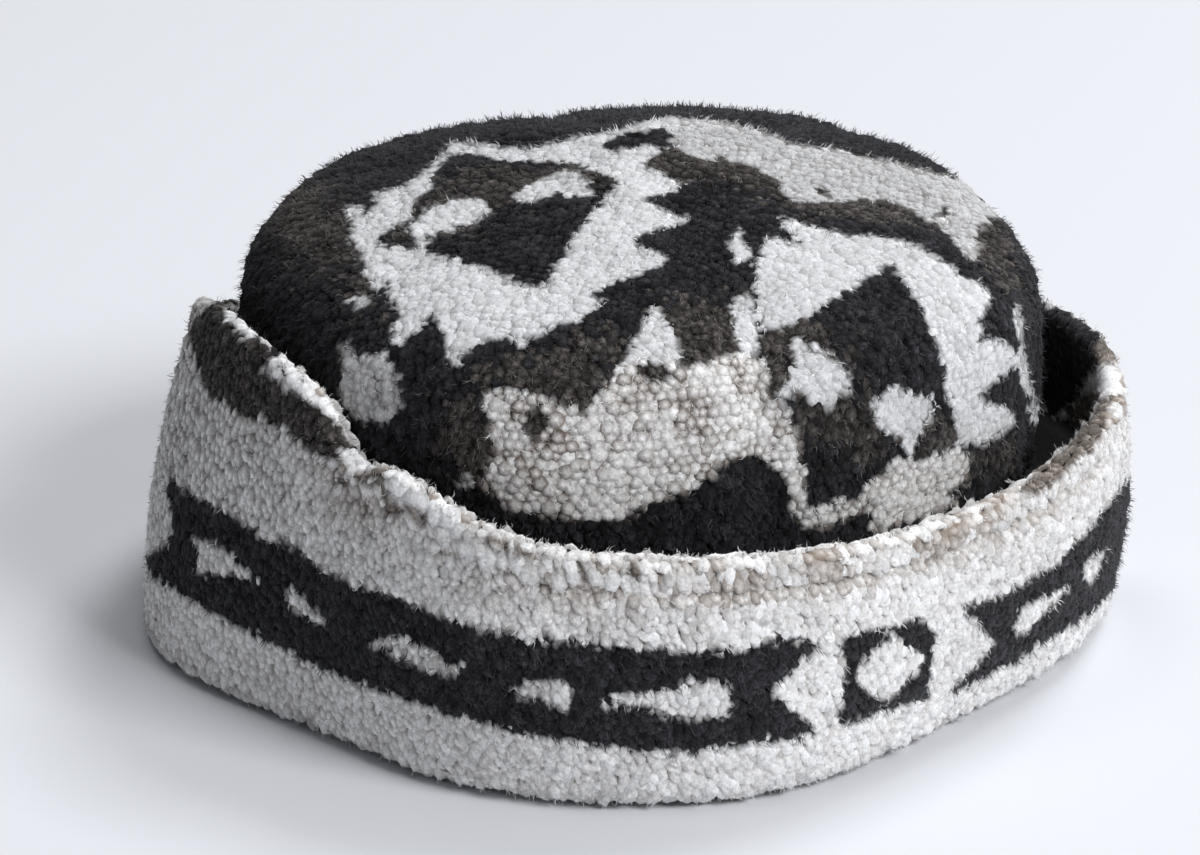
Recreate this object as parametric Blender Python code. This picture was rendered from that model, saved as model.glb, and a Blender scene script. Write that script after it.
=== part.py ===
# Fleece cap with a turned-up earflap band, lying on its fold.
# Metres, +Z up, front of the cap towards -Y, wearer's right ear at -X.
# Crown of six sewn panels, and one deep band that hangs from the crown's
# lower edge, folds on the table and stands up around the outside.

import bpy
import math

MM = 0.001

# Crown plan, a squared oval: half sizes from its centre at the lower edge
CROWN_LEFT = 91.5 * MM
CROWN_RIGHT = 98.0 * MM
CROWN_FRONT = 90.0 * MM
CROWN_BACK = 87.5 * MM
CROWN_WALL = 5.0 * MM

# Where the seams meet, off the centre of the plan
APEX_X = 7.0 * MM
APEX_Y = 15.0 * MM

# Crown outline from the top down: height mm, share of the plan, squareness
CROWN_OUTLINE = (
    (110.4, 0.000, 2.00),
    (108.3, 0.160, 2.05),
    (104.8, 0.380, 2.15),
    (100.4, 0.610, 2.30),
    (95.0, 0.798, 2.45),
    (86.0, 0.912, 2.45),
    (71.0, 0.958, 2.35),
    (46.0, 0.965, 2.20),
    (28.0, 0.960, 2.15),
    (10.0, 0.950, 2.15),
)
TIP_STATION = 0.012
PANEL_STEPS_UP = 18
PANEL_STEPS_ROUND = 12

# Crown seams: name of the panel that starts there, azimuth from the front
CROWN_SEAMS = (
    ("crown_panel_front_right", 4.0),
    ("crown_panel_side_right", 60.0),
    ("crown_panel_back_right", 120.0),
    ("crown_panel_back_left", 184.0),
    ("crown_panel_side_left", 240.0),
    ("crown_panel_front_left", 296.0),
)
SEAM_GAP = 0.3 * MM
SEAM_DIP = 1.6 * MM
SEAM_DIP_REACH = 6.0 * MM
SEAM_DIP_START = 20.0 * MM

# Band by azimuth from the front: foot radius, rim radius, rim height, all mm
BAND_ROUND = (
    (-180.0, 104.0, 102.0, 53.0),
    (-150.0, 105.0, 100.5, 55.0),
    (-120.0, 110.0, 98.5, 64.0),
    (-90.0, 113.5, 94.5, 83.0),
    (-60.0, 101.0, 95.5, 81.0),
    (-30.0, 106.7, 104.5, 62.0),
    (0.0, 108.5, 106.5, 58.0),
    (30.0, 101.5, 106.0, 56.0),
    (60.0, 111.0, 112.0, 59.5),
    (90.0, 120.0, 111.5, 58.5),
    (120.0, 114.0, 110.0, 50.0),
    (150.0, 107.0, 106.0, 50.0),
)
# The free edge drops in a step in front of the left ear: azimuth, half width, depth
EAR_STEP_AT = -51.5
EAR_STEP_HALF = 5.5
EAR_STEP_DOWN = 7.5
BAND_BULGE = 3.0 * MM
BAND_WALL = 7.5 * MM
BAND_FOLD_WALL = 6.0 * MM
BAND_CORNER = 5.0 * MM
BAND_GAP = 0.3 * MM
BAND_STEPS_ROUND = 72
BAND_STEPS_UP = 7
RIM_STEPS = 6
TROUGH_STEPS = 4

# Colour of each piece
CHARCOAL = (0.045, 0.044, 0.046, 1.0)
CREAM = (0.70, 0.68, 0.65, 1.0)

CAP_NAME = "earflap_cap"


def clear_scene():
    for thing in list(bpy.data.objects):
        bpy.data.objects.remove(thing, do_unlink=True)


def make_collection(name):
    collection = bpy.data.collections.new(name)
    bpy.context.scene.collection.children.link(collection)
    return collection


def make_material(name, colour):
    material = bpy.data.materials.new(name)
    material.use_nodes = True
    shader = material.node_tree.nodes["Principled BSDF"]
    shader.inputs["Base Color"].default_value = colour
    shader.inputs["Roughness"].default_value = 0.95
    material.diffuse_color = colour
    return material


def smooth_value(before, start, end, after, share):
    """Value between start and end on a smooth curve through all four."""
    slope = end - before
    bend = 2.0 * before - 5.0 * start + 4.0 * end - after
    twist = 3.0 * start - 3.0 * end + after - before
    return 0.5 * (2.0 * start + slope * share + bend * share ** 2 + twist * share ** 3)


def outline_at(station):
    """Height, share of the plan and squareness at a station, 0 top to 1 edge."""
    last = len(CROWN_OUTLINE) - 1
    place = min(max(station, 0.0), 1.0) * last
    first = min(int(place), last - 1)
    share = place - first
    rows = []
    for index in (first - 1, first, first + 1, first + 2):
        rows.append(CROWN_OUTLINE[min(max(index, 0), last)])
    height, spread, square = [smooth_value(*column, share) for column in zip(*rows)]
    return height * MM, max(spread, 0.0), square


def band_at(azimuth):
    """Foot radius, rim radius and rim height at an azimuth in radians."""
    count = len(BAND_ROUND)
    place = (math.degrees(azimuth) + 180.0) % 360.0 / 360.0 * count
    first = int(place)
    share = place - first
    rows = [BAND_ROUND[(first + step) % count][1:] for step in (-1, 0, 1, 2)]
    foot, rim, height = [smooth_value(*column, share) for column in zip(*rows)]
    turned = (math.degrees(azimuth) + 180.0) % 360.0 - 180.0
    away = (turned - EAR_STEP_AT) / EAR_STEP_HALF
    height -= EAR_STEP_DOWN * math.exp(-away ** 2)
    return foot * MM, rim * MM, height * MM


def plan_radius(azimuth, square):
    across = CROWN_RIGHT if math.sin(azimuth) > 0.0 else CROWN_LEFT
    along = CROWN_FRONT if math.cos(azimuth) > 0.0 else CROWN_BACK
    side = (abs(math.sin(azimuth)) / across) ** square
    face = (abs(math.cos(azimuth)) / along) ** square
    return (side + face) ** (-1.0 / square)


def outline_normal(azimuth, station):
    """Outward direction (along the radius, upwards) of the crown's outline."""
    step = 0.01
    above = outline_at(station - step)
    below = outline_at(station + step)
    run = below[1] * plan_radius(azimuth, below[2]) - above[1] * plan_radius(azimuth, above[2])
    drop = above[0] - below[0]
    length = math.hypot(run, drop)
    return drop / length, run / length


def crown_point(azimuth, station, depth, off_seam):
    """Point of the crown at a depth under its outer face.

    The azimuth is moved off_seam metres along the face, away from a seam.
    """
    height, spread, square = outline_at(station)
    radius = spread * plan_radius(azimuth, square)
    outward, upward = outline_normal(azimuth, station)
    room = max(radius, 12.0 * MM)
    radius *= 1.0 - depth * outward / room
    height -= depth * upward
    turned = azimuth + math.asin(max(-1.0, min(1.0, off_seam / radius)))
    away = 1.0 - spread
    x = radius * math.sin(turned) + APEX_X * away
    y = -radius * math.cos(turned) + APEX_Y * away
    return x, y, height


def seam_dip(azimuth, station, start, end):
    """How far the outer face sinks towards the two seams of its panel."""
    height, spread, square = outline_at(station)
    radius = spread * plan_radius(azimuth, square)
    nearest = min(azimuth - start, end - azimuth) * radius
    fade = min(1.0, radius / SEAM_DIP_START)
    return SEAM_DIP * fade * math.exp(-(nearest / SEAM_DIP_REACH) ** 2)


def make_solid(name, points, faces, material, collection):
    mesh = bpy.data.meshes.new(name)
    mesh.from_pydata(points, [], faces)
    mesh.materials.append(material)
    mesh.validate()
    solid = bpy.data.objects.new(name, mesh)
    collection.objects.link(solid)
    return solid


def panel_shares():
    """Shares across a panel, closer together beside its seams."""
    shares = []
    for step in range(PANEL_STEPS_ROUND + 1):
        even = step / PANEL_STEPS_ROUND
        eased = 0.5 - 0.5 * math.cos(math.pi * even)
        shares.append(0.55 * even + 0.45 * eased)
    return shares


def make_panel(name, start_deg, end_deg, centre, material, collection):
    """One crown panel, a curved wall between two seams."""
    start = math.radians(start_deg)
    end = math.radians(end_deg)
    points = []
    for inner in (False, True):
        for row in range(PANEL_STEPS_UP + 1):
            station = TIP_STATION + (1.0 - TIP_STATION) * row / PANEL_STEPS_UP
            for share in panel_shares():
                azimuth = start + (end - start) * share
                off_seam = SEAM_GAP * (0.5 - share)
                depth = CROWN_WALL
                if not inner:
                    depth = seam_dip(azimuth, station, start, end)
                x, y, z = crown_point(azimuth, station, depth, off_seam)
                if row == PANEL_STEPS_UP:
                    z = CROWN_OUTLINE[-1][0] * MM
                points.append((x - centre[0], y - centre[1], z))
    across = PANEL_STEPS_ROUND + 1
    layer = across * (PANEL_STEPS_UP + 1)
    faces = []
    for row in range(PANEL_STEPS_UP):
        for column in range(PANEL_STEPS_ROUND):
            a = row * across + column
            faces.append((a, a + across, a + across + 1, a + 1))
            faces.append((layer + a, layer + a + 1, layer + a + across + 1, layer + a + across))
    for row in range(PANEL_STEPS_UP):
        a = row * across
        b = a + PANEL_STEPS_ROUND
        faces.append((a, layer + a, layer + a + across, a + across))
        faces.append((b, b + across, layer + b + across, layer + b))
    for column in range(PANEL_STEPS_ROUND):
        a = column
        b = PANEL_STEPS_UP * across + column
        faces.append((a, a + 1, layer + a + 1, layer + a))
        faces.append((b, layer + b, layer + b + 1, b + 1))
    return make_solid(name, points, faces, material, collection)


def band_face_radius(azimuth, share):
    """Radius of the band's outer face, 0 at the foot to 1 at the rim."""
    foot, rim, height = band_at(azimuth)
    bulge = BAND_BULGE * math.sin(math.pi * share)
    return foot + (rim + 2.0 * MM - foot) * share + bulge


def band_section(azimuth):
    """Closed outline of the folded band, (radius, height) pairs."""
    foot, rim, height = band_at(azimuth)
    edge_height = CROWN_OUTLINE[-1][0] * MM
    edge_radius = CROWN_OUTLINE[-1][1] * plan_radius(azimuth, CROWN_OUTLINE[-1][2])
    inner = edge_radius - CROWN_WALL
    round_off = BAND_WALL / 2.0
    straight = height - round_off
    outline = [
        (inner + 2.5 * MM, 0.0),
        (0.5 * (inner + foot), 0.0),
        (foot - BAND_CORNER, 0.0),
    ]
    for turn in (0.35, 0.7):
        angle = 0.5 * math.pi * turn
        reach = BAND_CORNER * math.sin(angle)
        rise = BAND_CORNER * (1.0 - math.cos(angle))
        outline.append((foot - BAND_CORNER + reach, rise))
    for step in range(BAND_STEPS_UP + 1):
        z = BAND_CORNER + (straight - BAND_CORNER) * step / BAND_STEPS_UP
        outline.append((band_face_radius(azimuth, z / height), z))
    top_radius = outline[-1][0] - round_off
    for step in range(1, RIM_STEPS):
        angle = math.pi * step / RIM_STEPS
        outline.append((top_radius + round_off * math.cos(angle), straight + round_off * math.sin(angle)))
    low = BAND_FOLD_WALL + 2.0 * MM
    for step in range(BAND_STEPS_UP + 1):
        z = straight + (low - straight) * step / BAND_STEPS_UP
        outline.append((band_face_radius(azimuth, z / height) - BAND_WALL, z))
    far_side = outline[-1][0]
    for step in range(1, TROUGH_STEPS):
        share = step / TROUGH_STEPS
        sag = math.sin(math.pi * share)
        outline.append((far_side + (edge_radius - far_side) * share, low - 2.0 * MM * sag))
    outline.append((edge_radius, low))
    outline.append((edge_radius, edge_height - BAND_GAP))
    outline.append((inner, edge_height - BAND_GAP))
    outline.append((inner, 3.0 * MM))
    outline.append((inner + 0.8 * MM, 0.8 * MM))
    return outline


def make_band(name, centre, material, collection):
    """The folded band, its section carried once round the crown."""
    points = []
    for step in range(BAND_STEPS_ROUND):
        azimuth = 2.0 * math.pi * step / BAND_STEPS_ROUND
        for radius, height in band_section(azimuth):
            x = radius * math.sin(azimuth) - centre[0]
            y = -radius * math.cos(azimuth) - centre[1]
            points.append((x, y, height))
    count = len(points) // BAND_STEPS_ROUND
    faces = []
    for step in range(BAND_STEPS_ROUND):
        here = step * count
        ahead = (step + 1) % BAND_STEPS_ROUND * count
        for place in range(count):
            after = (place + 1) % count
            faces.append((here + place, ahead + place, ahead + after, here + after))
    return make_solid(name, points, faces, material, collection)


def band_centre():
    """Middle of the band's widest places, which becomes the origin."""
    across = []
    along = []
    for step in range(BAND_STEPS_ROUND):
        azimuth = 2.0 * math.pi * step / BAND_STEPS_ROUND
        widest = max(radius for radius, height in band_section(azimuth))
        across.append(widest * math.sin(azimuth))
        along.append(-widest * math.cos(azimuth))
    return (min(across) + max(across)) / 2.0, (min(along) + max(along)) / 2.0


def build():
    clear_scene()
    cap = make_collection(CAP_NAME)
    dark = make_material("charcoal_fleece", CHARCOAL)
    pale = make_material("cream_fleece", CREAM)
    centre = band_centre()
    for index, (name, start) in enumerate(CROWN_SEAMS):
        end = CROWN_SEAMS[(index + 1) % len(CROWN_SEAMS)][1]
        if end < start:
            end += 360.0
        make_panel(name, start, end, centre, dark, cap)
    make_band("earflap_band", centre, pale, cap)


build()
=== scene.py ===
# Looks of the fleece cap with a turned-up earflap band: a smooth skin for each
# sewn piece, and on it the curly pile, small nubs of fleece with loose fibres.
import bpy
import math
import numpy as np
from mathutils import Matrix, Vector


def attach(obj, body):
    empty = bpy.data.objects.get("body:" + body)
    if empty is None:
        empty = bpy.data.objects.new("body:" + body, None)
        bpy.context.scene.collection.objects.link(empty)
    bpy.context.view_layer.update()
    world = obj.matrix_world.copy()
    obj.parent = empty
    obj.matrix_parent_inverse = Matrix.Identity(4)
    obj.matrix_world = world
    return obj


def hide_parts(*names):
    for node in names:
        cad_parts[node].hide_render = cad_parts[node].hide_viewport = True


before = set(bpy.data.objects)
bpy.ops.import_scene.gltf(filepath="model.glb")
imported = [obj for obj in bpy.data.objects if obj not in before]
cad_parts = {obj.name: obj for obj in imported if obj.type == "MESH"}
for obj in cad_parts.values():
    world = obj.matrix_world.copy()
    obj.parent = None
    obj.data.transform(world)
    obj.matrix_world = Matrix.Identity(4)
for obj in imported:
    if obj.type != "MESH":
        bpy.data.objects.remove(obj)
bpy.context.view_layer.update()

MM = 0.001

# Sizes of the cap, as its solids have them
CROWN_LEFT = 91.5 * MM
CROWN_RIGHT = 98.0 * MM
CROWN_FRONT = 90.0 * MM
CROWN_BACK = 87.5 * MM
CROWN_WALL = 5.0 * MM
APEX_X = 7.0 * MM
APEX_Y = 15.0 * MM
# Height mm, share of the plan, squareness
CROWN_OUTLINE = np.array((
    (110.4, 0.000, 2.00),
    (108.3, 0.160, 2.05),
    (104.8, 0.380, 2.15),
    (100.4, 0.610, 2.30),
    (95.0, 0.798, 2.45),
    (86.0, 0.912, 2.45),
    (71.0, 0.958, 2.35),
    (46.0, 0.965, 2.20),
    (28.0, 0.960, 2.15),
    (10.0, 0.950, 2.15),
))
TIP_STATION = 0.012
CROWN_SEAMS = (
    ("crown_panel_front_right", 4.0),
    ("crown_panel_side_right", 60.0),
    ("crown_panel_back_right", 120.0),
    ("crown_panel_back_left", 184.0),
    ("crown_panel_side_left", 240.0),
    ("crown_panel_front_left", 296.0),
)
SEAM_GAP = 0.3 * MM
SEAM_DIP = 1.6 * MM
SEAM_DIP_REACH = 6.0 * MM
SEAM_DIP_START = 20.0 * MM
# Azimuth, foot radius, rim radius, rim height, mm
BAND_ROUND = np.array((
    (-180.0, 104.0, 102.0, 53.0),
    (-150.0, 105.0, 100.5, 55.0),
    (-120.0, 110.0, 98.5, 64.0),
    (-90.0, 113.5, 94.5, 83.0),
    (-60.0, 101.0, 95.5, 81.0),
    (-30.0, 106.7, 104.5, 62.0),
    (0.0, 108.5, 106.5, 58.0),
    (30.0, 101.5, 106.0, 56.0),
    (60.0, 111.0, 112.0, 59.5),
    (90.0, 120.0, 111.5, 58.5),
    (120.0, 114.0, 110.0, 50.0),
    (150.0, 107.0, 106.0, 50.0),
))
EAR_STEP_AT = -51.5
EAR_STEP_HALF = 5.5
EAR_STEP_DOWN = 7.5
BAND_BULGE = 3.0 * MM
BAND_WALL = 7.5 * MM
BAND_FOLD_WALL = 6.0 * MM
BAND_CORNER = 5.0 * MM
BAND_GAP = 0.3 * MM

# Camera as it looks at the cap in the photo, and the photo's size in pixels
PHOTO_WIDE = 1200.0
PHOTO_HIGH = 855.0
CAMERA_AZIMUTH = math.radians(-16.0)
CAMERA_RISE = math.radians(23.0)
CAMERA_AWAY = 0.85
CAMERA_ACROSS = math.radians(18.6)
CAMERA_AIM = np.array((0.0, 0.0, 42.0 * MM))
PHOTO_SLIDE = 25.0

# Lamps: place, size in metres, watts
LAMPS = (
    ("key", (1.30, 0.80, 2.60), (0.9, 0.9), 37.0),
    ("overhead", (0.10, 0.20, 3.00), (2.0, 2.0), 20.0),
    ("front", (1.65, -2.20, 2.25), (1.4, 1.1), 93.0),
)
LAMP_AIM = (0.0, 0.0, 0.05)
LAMP_COLOUR = (0.97, 0.98, 1.0)
WORLD_COLOUR = (0.92, 0.945, 1.0, 1.0)
WORLD_STRENGTH = 0.13
FLOOR_REACH = 6.0

# The pile: its roots lie this deep under the cap's face
PILE_SEAT = 2.1 * MM
CROWN_SPACING = 2.20 * MM
BAND_SPACING = 2.10 * MM
# Where nubs stand: crown stations, and how far down the flap's inner face
CROWN_PILE_TOP = 0.035
CROWN_PILE_FOOT = 0.82
LINING_LEAST = 12.0 * MM
LINING_AT_EARS = 24.0 * MM
BAND_SKIN_LAST = 35
BAND_PILES = (
    ("earflap_band_pile_left_front", -97.0, -17.0),
    ("earflap_band_pile_right_front", -17.0, 73.0),
    ("earflap_band_pile_right_back", 73.0, 168.0),
    ("earflap_band_pile_left_back", 168.0, 263.0),
)
# The crease of the sewn hem below the band's free edge: how far below, how deep, and the painted shade in it
# with its colour
HEM_BELOW = 8.0 * MM
HEM_DEPTH = 1.1 * MM
HEM_SHADE = 0.9
HEM_SHADE_COLOUR = (0.62, 0.55, 0.48)
# Odd brown flecks in the pale pile
FLECK_TINT = np.array((0.42, 0.34, 0.27))
# Painted shade on the pile at the left ear, which lies away from the light, from this height up
LEFT_EAR_SHADE = 0.30
LEFT_EAR_SHADE_FROM = 24.0
LEFT_EAR_SHADE_RISE = 16.0
LEFT_EAR_SHADE_AT = -62.0
# Painted light near the foot: the pile there is painted paler, as far up as this
FOOT_LIGHT = 0.12
FOOT_LIGHT_REACH = 24.0 * MM
# The pile right of the front is more even: lower nubs, and paler painted shade in its cracks and at its
# roots
EVEN_LIFT = 0.45
EVEN_FLAT = 0.16
# How far a motif's edge strays from nub to nub
CHART_STRAY = 0.4 * MM
SEED = 20

# Colours of the fleece, linear, at the tips of the pile and at its roots; the roots' colours hold painted
# shade, darker down in the pile
CHARCOAL, BROWN, WHITE, CREAM, GREY, MOTTLED, BRIGHT, TAN = range(8)
TIP_COLOURS = np.array((
    (0.032, 0.032, 0.036),
    (0.090, 0.081, 0.075),
    (0.690, 0.696, 0.706),
    (0.905, 0.901, 0.895),
    (0.600, 0.602, 0.606),
    (0.905, 0.897, 0.887),
    (0.930, 0.935, 0.945),
    (0.290, 0.254, 0.226),
))
ROOT_COLOURS = np.array((
    (0.007, 0.007, 0.008),
    (0.013, 0.011, 0.010),
    (0.440, 0.435, 0.430),
    (0.370, 0.352, 0.335),
    (0.220, 0.208, 0.198),
    (0.200, 0.168, 0.142),
    (0.560, 0.550, 0.545),
    (0.070, 0.058, 0.048),
))
# Tips of the loose fibres, mostly lighter than the domes' tips as painted highlights, and how grainy each
# colour looks
FIBRE_COLOURS = np.array((
    (0.055, 0.054, 0.060),
    (0.150, 0.137, 0.125),
    (0.940, 0.945, 0.950),
    (0.880, 0.875, 0.870),
    (0.800, 0.795, 0.790),
    (0.900, 0.890, 0.875),
    (0.945, 0.945, 0.950),
    (0.380, 0.336, 0.300),
))
GRAIN = np.array((0.50, 0.45, 0.14, 0.16, 0.18, 0.18, 0.12, 0.35))
KNIT_COLOUR = (0.300, 0.290, 0.280)
# How each colour's pile grows: 0 round nubs, 1 pointed locks, 2 loose curls
CROWN_STYLE = np.array((1, 1, 0, 2, 0, 0, 0, 1))
BAND_STYLE = np.array((1, 1, 0, 2, 2, 2, 0, 1))
# A nub's width, length along its lean and height, as shares of the spacing
NUB_WIDE = np.array((0.92, 0.76, 0.71))
NUB_LONG = np.array((1.0, 1.15, 1.40))
NUB_HIGH = np.array((0.66, 0.60, 0.80))
NUB_LEAN = np.array((0.10, 0.50, 0.60))
FIBRES = np.array((4, 8, 5))
FIBRE_LENGTH = np.array((1.4, 2.4, 1.9)) * MM
FIBRE_WIDTH = np.array((0.20, 0.20, 0.22)) * MM
STANDING = np.array((0.12, 0.38, 0.20))
CLUMP = np.array((0.2, 0.60, 0.60))
TURN_SPREAD = np.array((3.0, 0.9, 0.7))
TONE_SPREAD = np.array((0.12, 0.35, 0.18))
# How much one nub's tone differs from the next
NUB_TONES = np.array((0.05, 0.32, 0.09))
# Painted shade: how bright a dome still is half way down, darkest in the cracks between nubs
CRACK_SHADE = np.array((0.48, 0.20, 0.44))
# How much farther the edge between the two dark colours strays
DARK_STRAY = 7.0
# Slow waves of the cloth under the pile
WAVE_HEIGHT = 0.45 * MM
# Each dome: its corners around, the rings of corners (how far down, turn) and their flat places
SIDES = 5
DOME_RINGS = ((1.0, 0.0), (0.52, 0.5))
FLAT_RINGS = ((0.44, 0.0), (0.24, 0.5))
DOME_WOBBLE = (0.85, 1.15)
# Brightness at a fibre's five corners, from its root to its tip: painted shade at the root, a painted
# highlight at the tip
FIBRE_SHADES = (0.45, 0.45, 0.9, 0.9, 1.15)
# Nothing of the pile reaches lower than this above the floor
DOME_FLOOR = 0.3 * MM
FIBRE_FLOOR = 0.25 * MM
# Rows of nubs: how close they lie, and how far a nub strays along and across its row
ROW_SQUEEZE = 0.87
ALONG_STRAY = 0.24
ROW_STRAY = 0.20
# Pointed locks rise to a small tip
LOCK_POINT = 0.15
# Normal spread of the way the dark locks and loose curls lean, from nub to nub, radians
FLOW_STRAY = 0.45
BAND_FLOW = 0.5 * math.pi - 0.35
CROWN_FLOW = 0.5 * math.pi
# How much of a nub's brown flecks and painted shade its tip takes on
TIP_BROWN_AND_SHADE = 0.26
# Normals of a nub spread from a point this far under its root
HEART_DEPTH = 0.4 * MM
# Tufts along the free edge, most at the front left: azimuth and half width of that stretch
RAGGED_AT = -38.0
RAGGED_HALF = 25.0
TUFT_SIZES = (1.2, 1.5)
TUFT_SHINE = 1.12
RIM_SIZE = 1.12
# Where the pile turns even at the front, and where it no longer is, degrees
EVEN_FROM = -16.0
EVEN_TO = 130.0
# The skin under the pile: the share of the roots' colours it keeps, darker as painted shade, and its grain
SKIN_SHADE = 0.8
SKIN_GRAIN = 0.15
# The crown's hidden sides mirror the seen ones about these azimuths, degrees
CROWN_MIRROR_RIGHT = 69.0
CROWN_MIRROR_LEFT = 259.0
CROWN_MIRROR_SPLIT = 150.0
RIDGE_STATIONS = (0.42, 0.50)
# Faces that turn away from the photo's camera by more than this count as hidden
CROWN_HIDDEN = -0.03
BAND_HIDDEN = -0.08


def turned_degrees(azimuth):
    """An azimuth in degrees, from -180 to 180."""
    return (np.degrees(azimuth) + 180.0) % 360.0 - 180.0


def unit(vectors):
    """The same directions with length one."""
    return vectors / np.maximum(np.linalg.norm(vectors, axis=-1, keepdims=True), 1e-9)


def smooth_columns(rows, place, wraps):
    """Columns of a table at fractional row numbers, on smooth curves."""
    count = len(rows)
    first = np.floor(place).astype(int)
    if not wraps:
        first = np.clip(first, 0, count - 2)
    share = (place - first)[..., None]
    picks = []
    for step in (-1, 0, 1, 2):
        index = first + step
        index = index % count if wraps else np.clip(index, 0, count - 1)
        picks.append(rows[index])
    before, start, end, after = picks
    slope = end - before
    bend = 2.0 * before - 5.0 * start + 4.0 * end - after
    twist = 3.0 * start - 3.0 * end + after - before
    return 0.5 * (2.0 * start + slope * share + bend * share ** 2 + twist * share ** 3)


def outline_at(station):
    """The crown's height, share of its plan and squareness at a station, 0 at the top."""
    place = np.clip(station, 0.0, 1.0) * (len(CROWN_OUTLINE) - 1)
    columns = smooth_columns(CROWN_OUTLINE, place, False)
    return columns[..., 0] * MM, np.maximum(columns[..., 1], 0.0), columns[..., 2]


def band_at(azimuth):
    """The band's foot radius, rim radius and rim height."""
    place = (np.degrees(azimuth) + 180.0) % 360.0 / 360.0 * len(BAND_ROUND)
    columns = smooth_columns(BAND_ROUND[:, 1:], place, True)
    turned = turned_degrees(azimuth)
    step = EAR_STEP_DOWN * np.exp(-((turned - EAR_STEP_AT) / EAR_STEP_HALF) ** 2)
    return columns[..., 0] * MM, columns[..., 1] * MM, (columns[..., 2] - step) * MM


def plan_radius(azimuth, square):
    """Radius of the crown's plan, a squarish oval of four unlike quarters."""
    across = np.where(np.sin(azimuth) > 0.0, CROWN_RIGHT, CROWN_LEFT)
    along = np.where(np.cos(azimuth) > 0.0, CROWN_FRONT, CROWN_BACK)
    side = (np.abs(np.sin(azimuth)) / across) ** square
    face = (np.abs(np.cos(azimuth)) / along) ** square
    return (side + face) ** (-1.0 / square)


def outline_normal(azimuth, station):
    """How far the crown's face turns outward and upward."""
    step = 0.01
    above = outline_at(station - step)
    below = outline_at(station + step)
    run = below[1] * plan_radius(azimuth, below[2]) - above[1] * plan_radius(azimuth, above[2])
    drop = above[0] - below[0]
    length = np.hypot(run, drop)
    return drop / length, run / length


def crown_radius(azimuth, station):
    _, spread, square = outline_at(station)
    return spread * plan_radius(azimuth, square)


def seam_dip(azimuth, station, start, end):
    """How deep the face sinks beside the seams at both sides of a panel."""
    radius = crown_radius(azimuth, station)
    nearest = np.minimum(azimuth - start, end - azimuth) * radius
    fade = np.minimum(1.0, radius / SEAM_DIP_START)
    return SEAM_DIP * fade * np.exp(-(nearest / SEAM_DIP_REACH) ** 2)


def crown_point(azimuth, station, depth):
    """Points of the crown at a depth under its outer face, in the cap's frame."""
    height, spread, square = outline_at(station)
    radius = spread * plan_radius(azimuth, square)
    outward, upward = outline_normal(azimuth, station)
    room = np.maximum(radius, 12.0 * MM)
    radius = radius * (1.0 - depth * outward / room)
    height = height - depth * upward
    away = 1.0 - spread
    x = radius * np.sin(azimuth) + APEX_X * away
    y = -radius * np.cos(azimuth) + APEX_Y * away
    return np.stack((x, y, height), -1) - CENTRE


def band_face_radius(azimuth, share):
    """Radius of the band's outer face at a share of its height, slightly bulged."""
    foot, rim, height = band_at(azimuth)
    return foot + (rim + 2.0 * MM - foot) * share + BAND_BULGE * np.sin(math.pi * share)


def band_section(azimuth, steps_up=14, rim_steps=8, trough_steps=4):
    """Closed outline of the folded band, a row of (radius, height) for each azimuth."""
    foot, _, height = band_at(azimuth)
    edge_height = CROWN_OUTLINE[-1][0] * MM
    edge_radius = CROWN_OUTLINE[-1][1] * plan_radius(azimuth, CROWN_OUTLINE[-1][2])
    inner = edge_radius - CROWN_WALL
    half = BAND_WALL / 2.0
    straight = height - half
    level = np.zeros_like(azimuth)
    outline = [(inner + 2.5 * MM, level), (0.5 * (inner + foot), level), (foot - BAND_CORNER, level)]
    for turn in (0.35, 0.7):
        angle = 0.5 * math.pi * turn
        reach = foot - BAND_CORNER + BAND_CORNER * math.sin(angle)
        outline.append((reach, level + BAND_CORNER * (1.0 - math.cos(angle))))
    for step in range(steps_up + 1):
        z = BAND_CORNER + (straight - BAND_CORNER) * step / steps_up
        outline.append((band_face_radius(azimuth, z / height), z))
    top_radius = outline[-1][0] - half
    for step in range(1, rim_steps):
        angle = math.pi * step / rim_steps
        outline.append((top_radius + half * math.cos(angle), straight + half * math.sin(angle)))
    low = BAND_FOLD_WALL + 2.0 * MM
    for step in range(steps_up + 1):
        z = straight + (low - straight) * step / steps_up
        outline.append((band_face_radius(azimuth, z / height) - BAND_WALL, z))
    far_side = outline[-1][0]
    for step in range(1, trough_steps):
        share = step / trough_steps
        sag = math.sin(math.pi * share)
        outline.append((far_side + (edge_radius - far_side) * share, level + low - 2.0 * MM * sag))
    outline.append((edge_radius, level + low))
    outline.append((edge_radius, level + edge_height - BAND_GAP))
    outline.append((inner, level + edge_height - BAND_GAP))
    outline.append((inner, level + 3.0 * MM))
    outline.append((inner + 0.8 * MM, level + 0.8 * MM))
    return np.stack([np.stack(pair, -1) for pair in outline], 0)


def band_point(azimuth, radius, height):
    x = radius * np.sin(azimuth)
    y = -radius * np.cos(azimuth)
    return np.stack((x, y, height), -1) - CENTRE


def band_centre():
    """Middle of the band's plan, which the finished cap has at the origin."""
    azimuth = 2.0 * math.pi * np.arange(72) / 72
    widest = band_section(azimuth, 7, 6, 4)[..., 0].max(0)
    across = widest * np.sin(azimuth)
    along = -widest * np.cos(azimuth)
    middle_x = (across.min() + across.max()) / 2.0
    middle_y = (along.min() + along.max()) / 2.0
    return np.array((middle_x, middle_y, 0.0))


CENTRE = np.zeros(3)
CENTRE = band_centre()


def camera_axes():
    """Unit vectors back to the camera, to its right and up."""
    rise, turn = CAMERA_RISE, CAMERA_AZIMUTH
    back = np.array((math.sin(turn) * math.cos(rise), -math.cos(turn) * math.cos(rise), math.sin(rise)))
    right = np.array((math.cos(turn), math.sin(turn), 0.0))
    up = np.cross(back, right)
    return back, right, up


def camera_place():
    return CAMERA_AIM + camera_axes()[0] * CAMERA_AWAY - CENTRE


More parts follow.
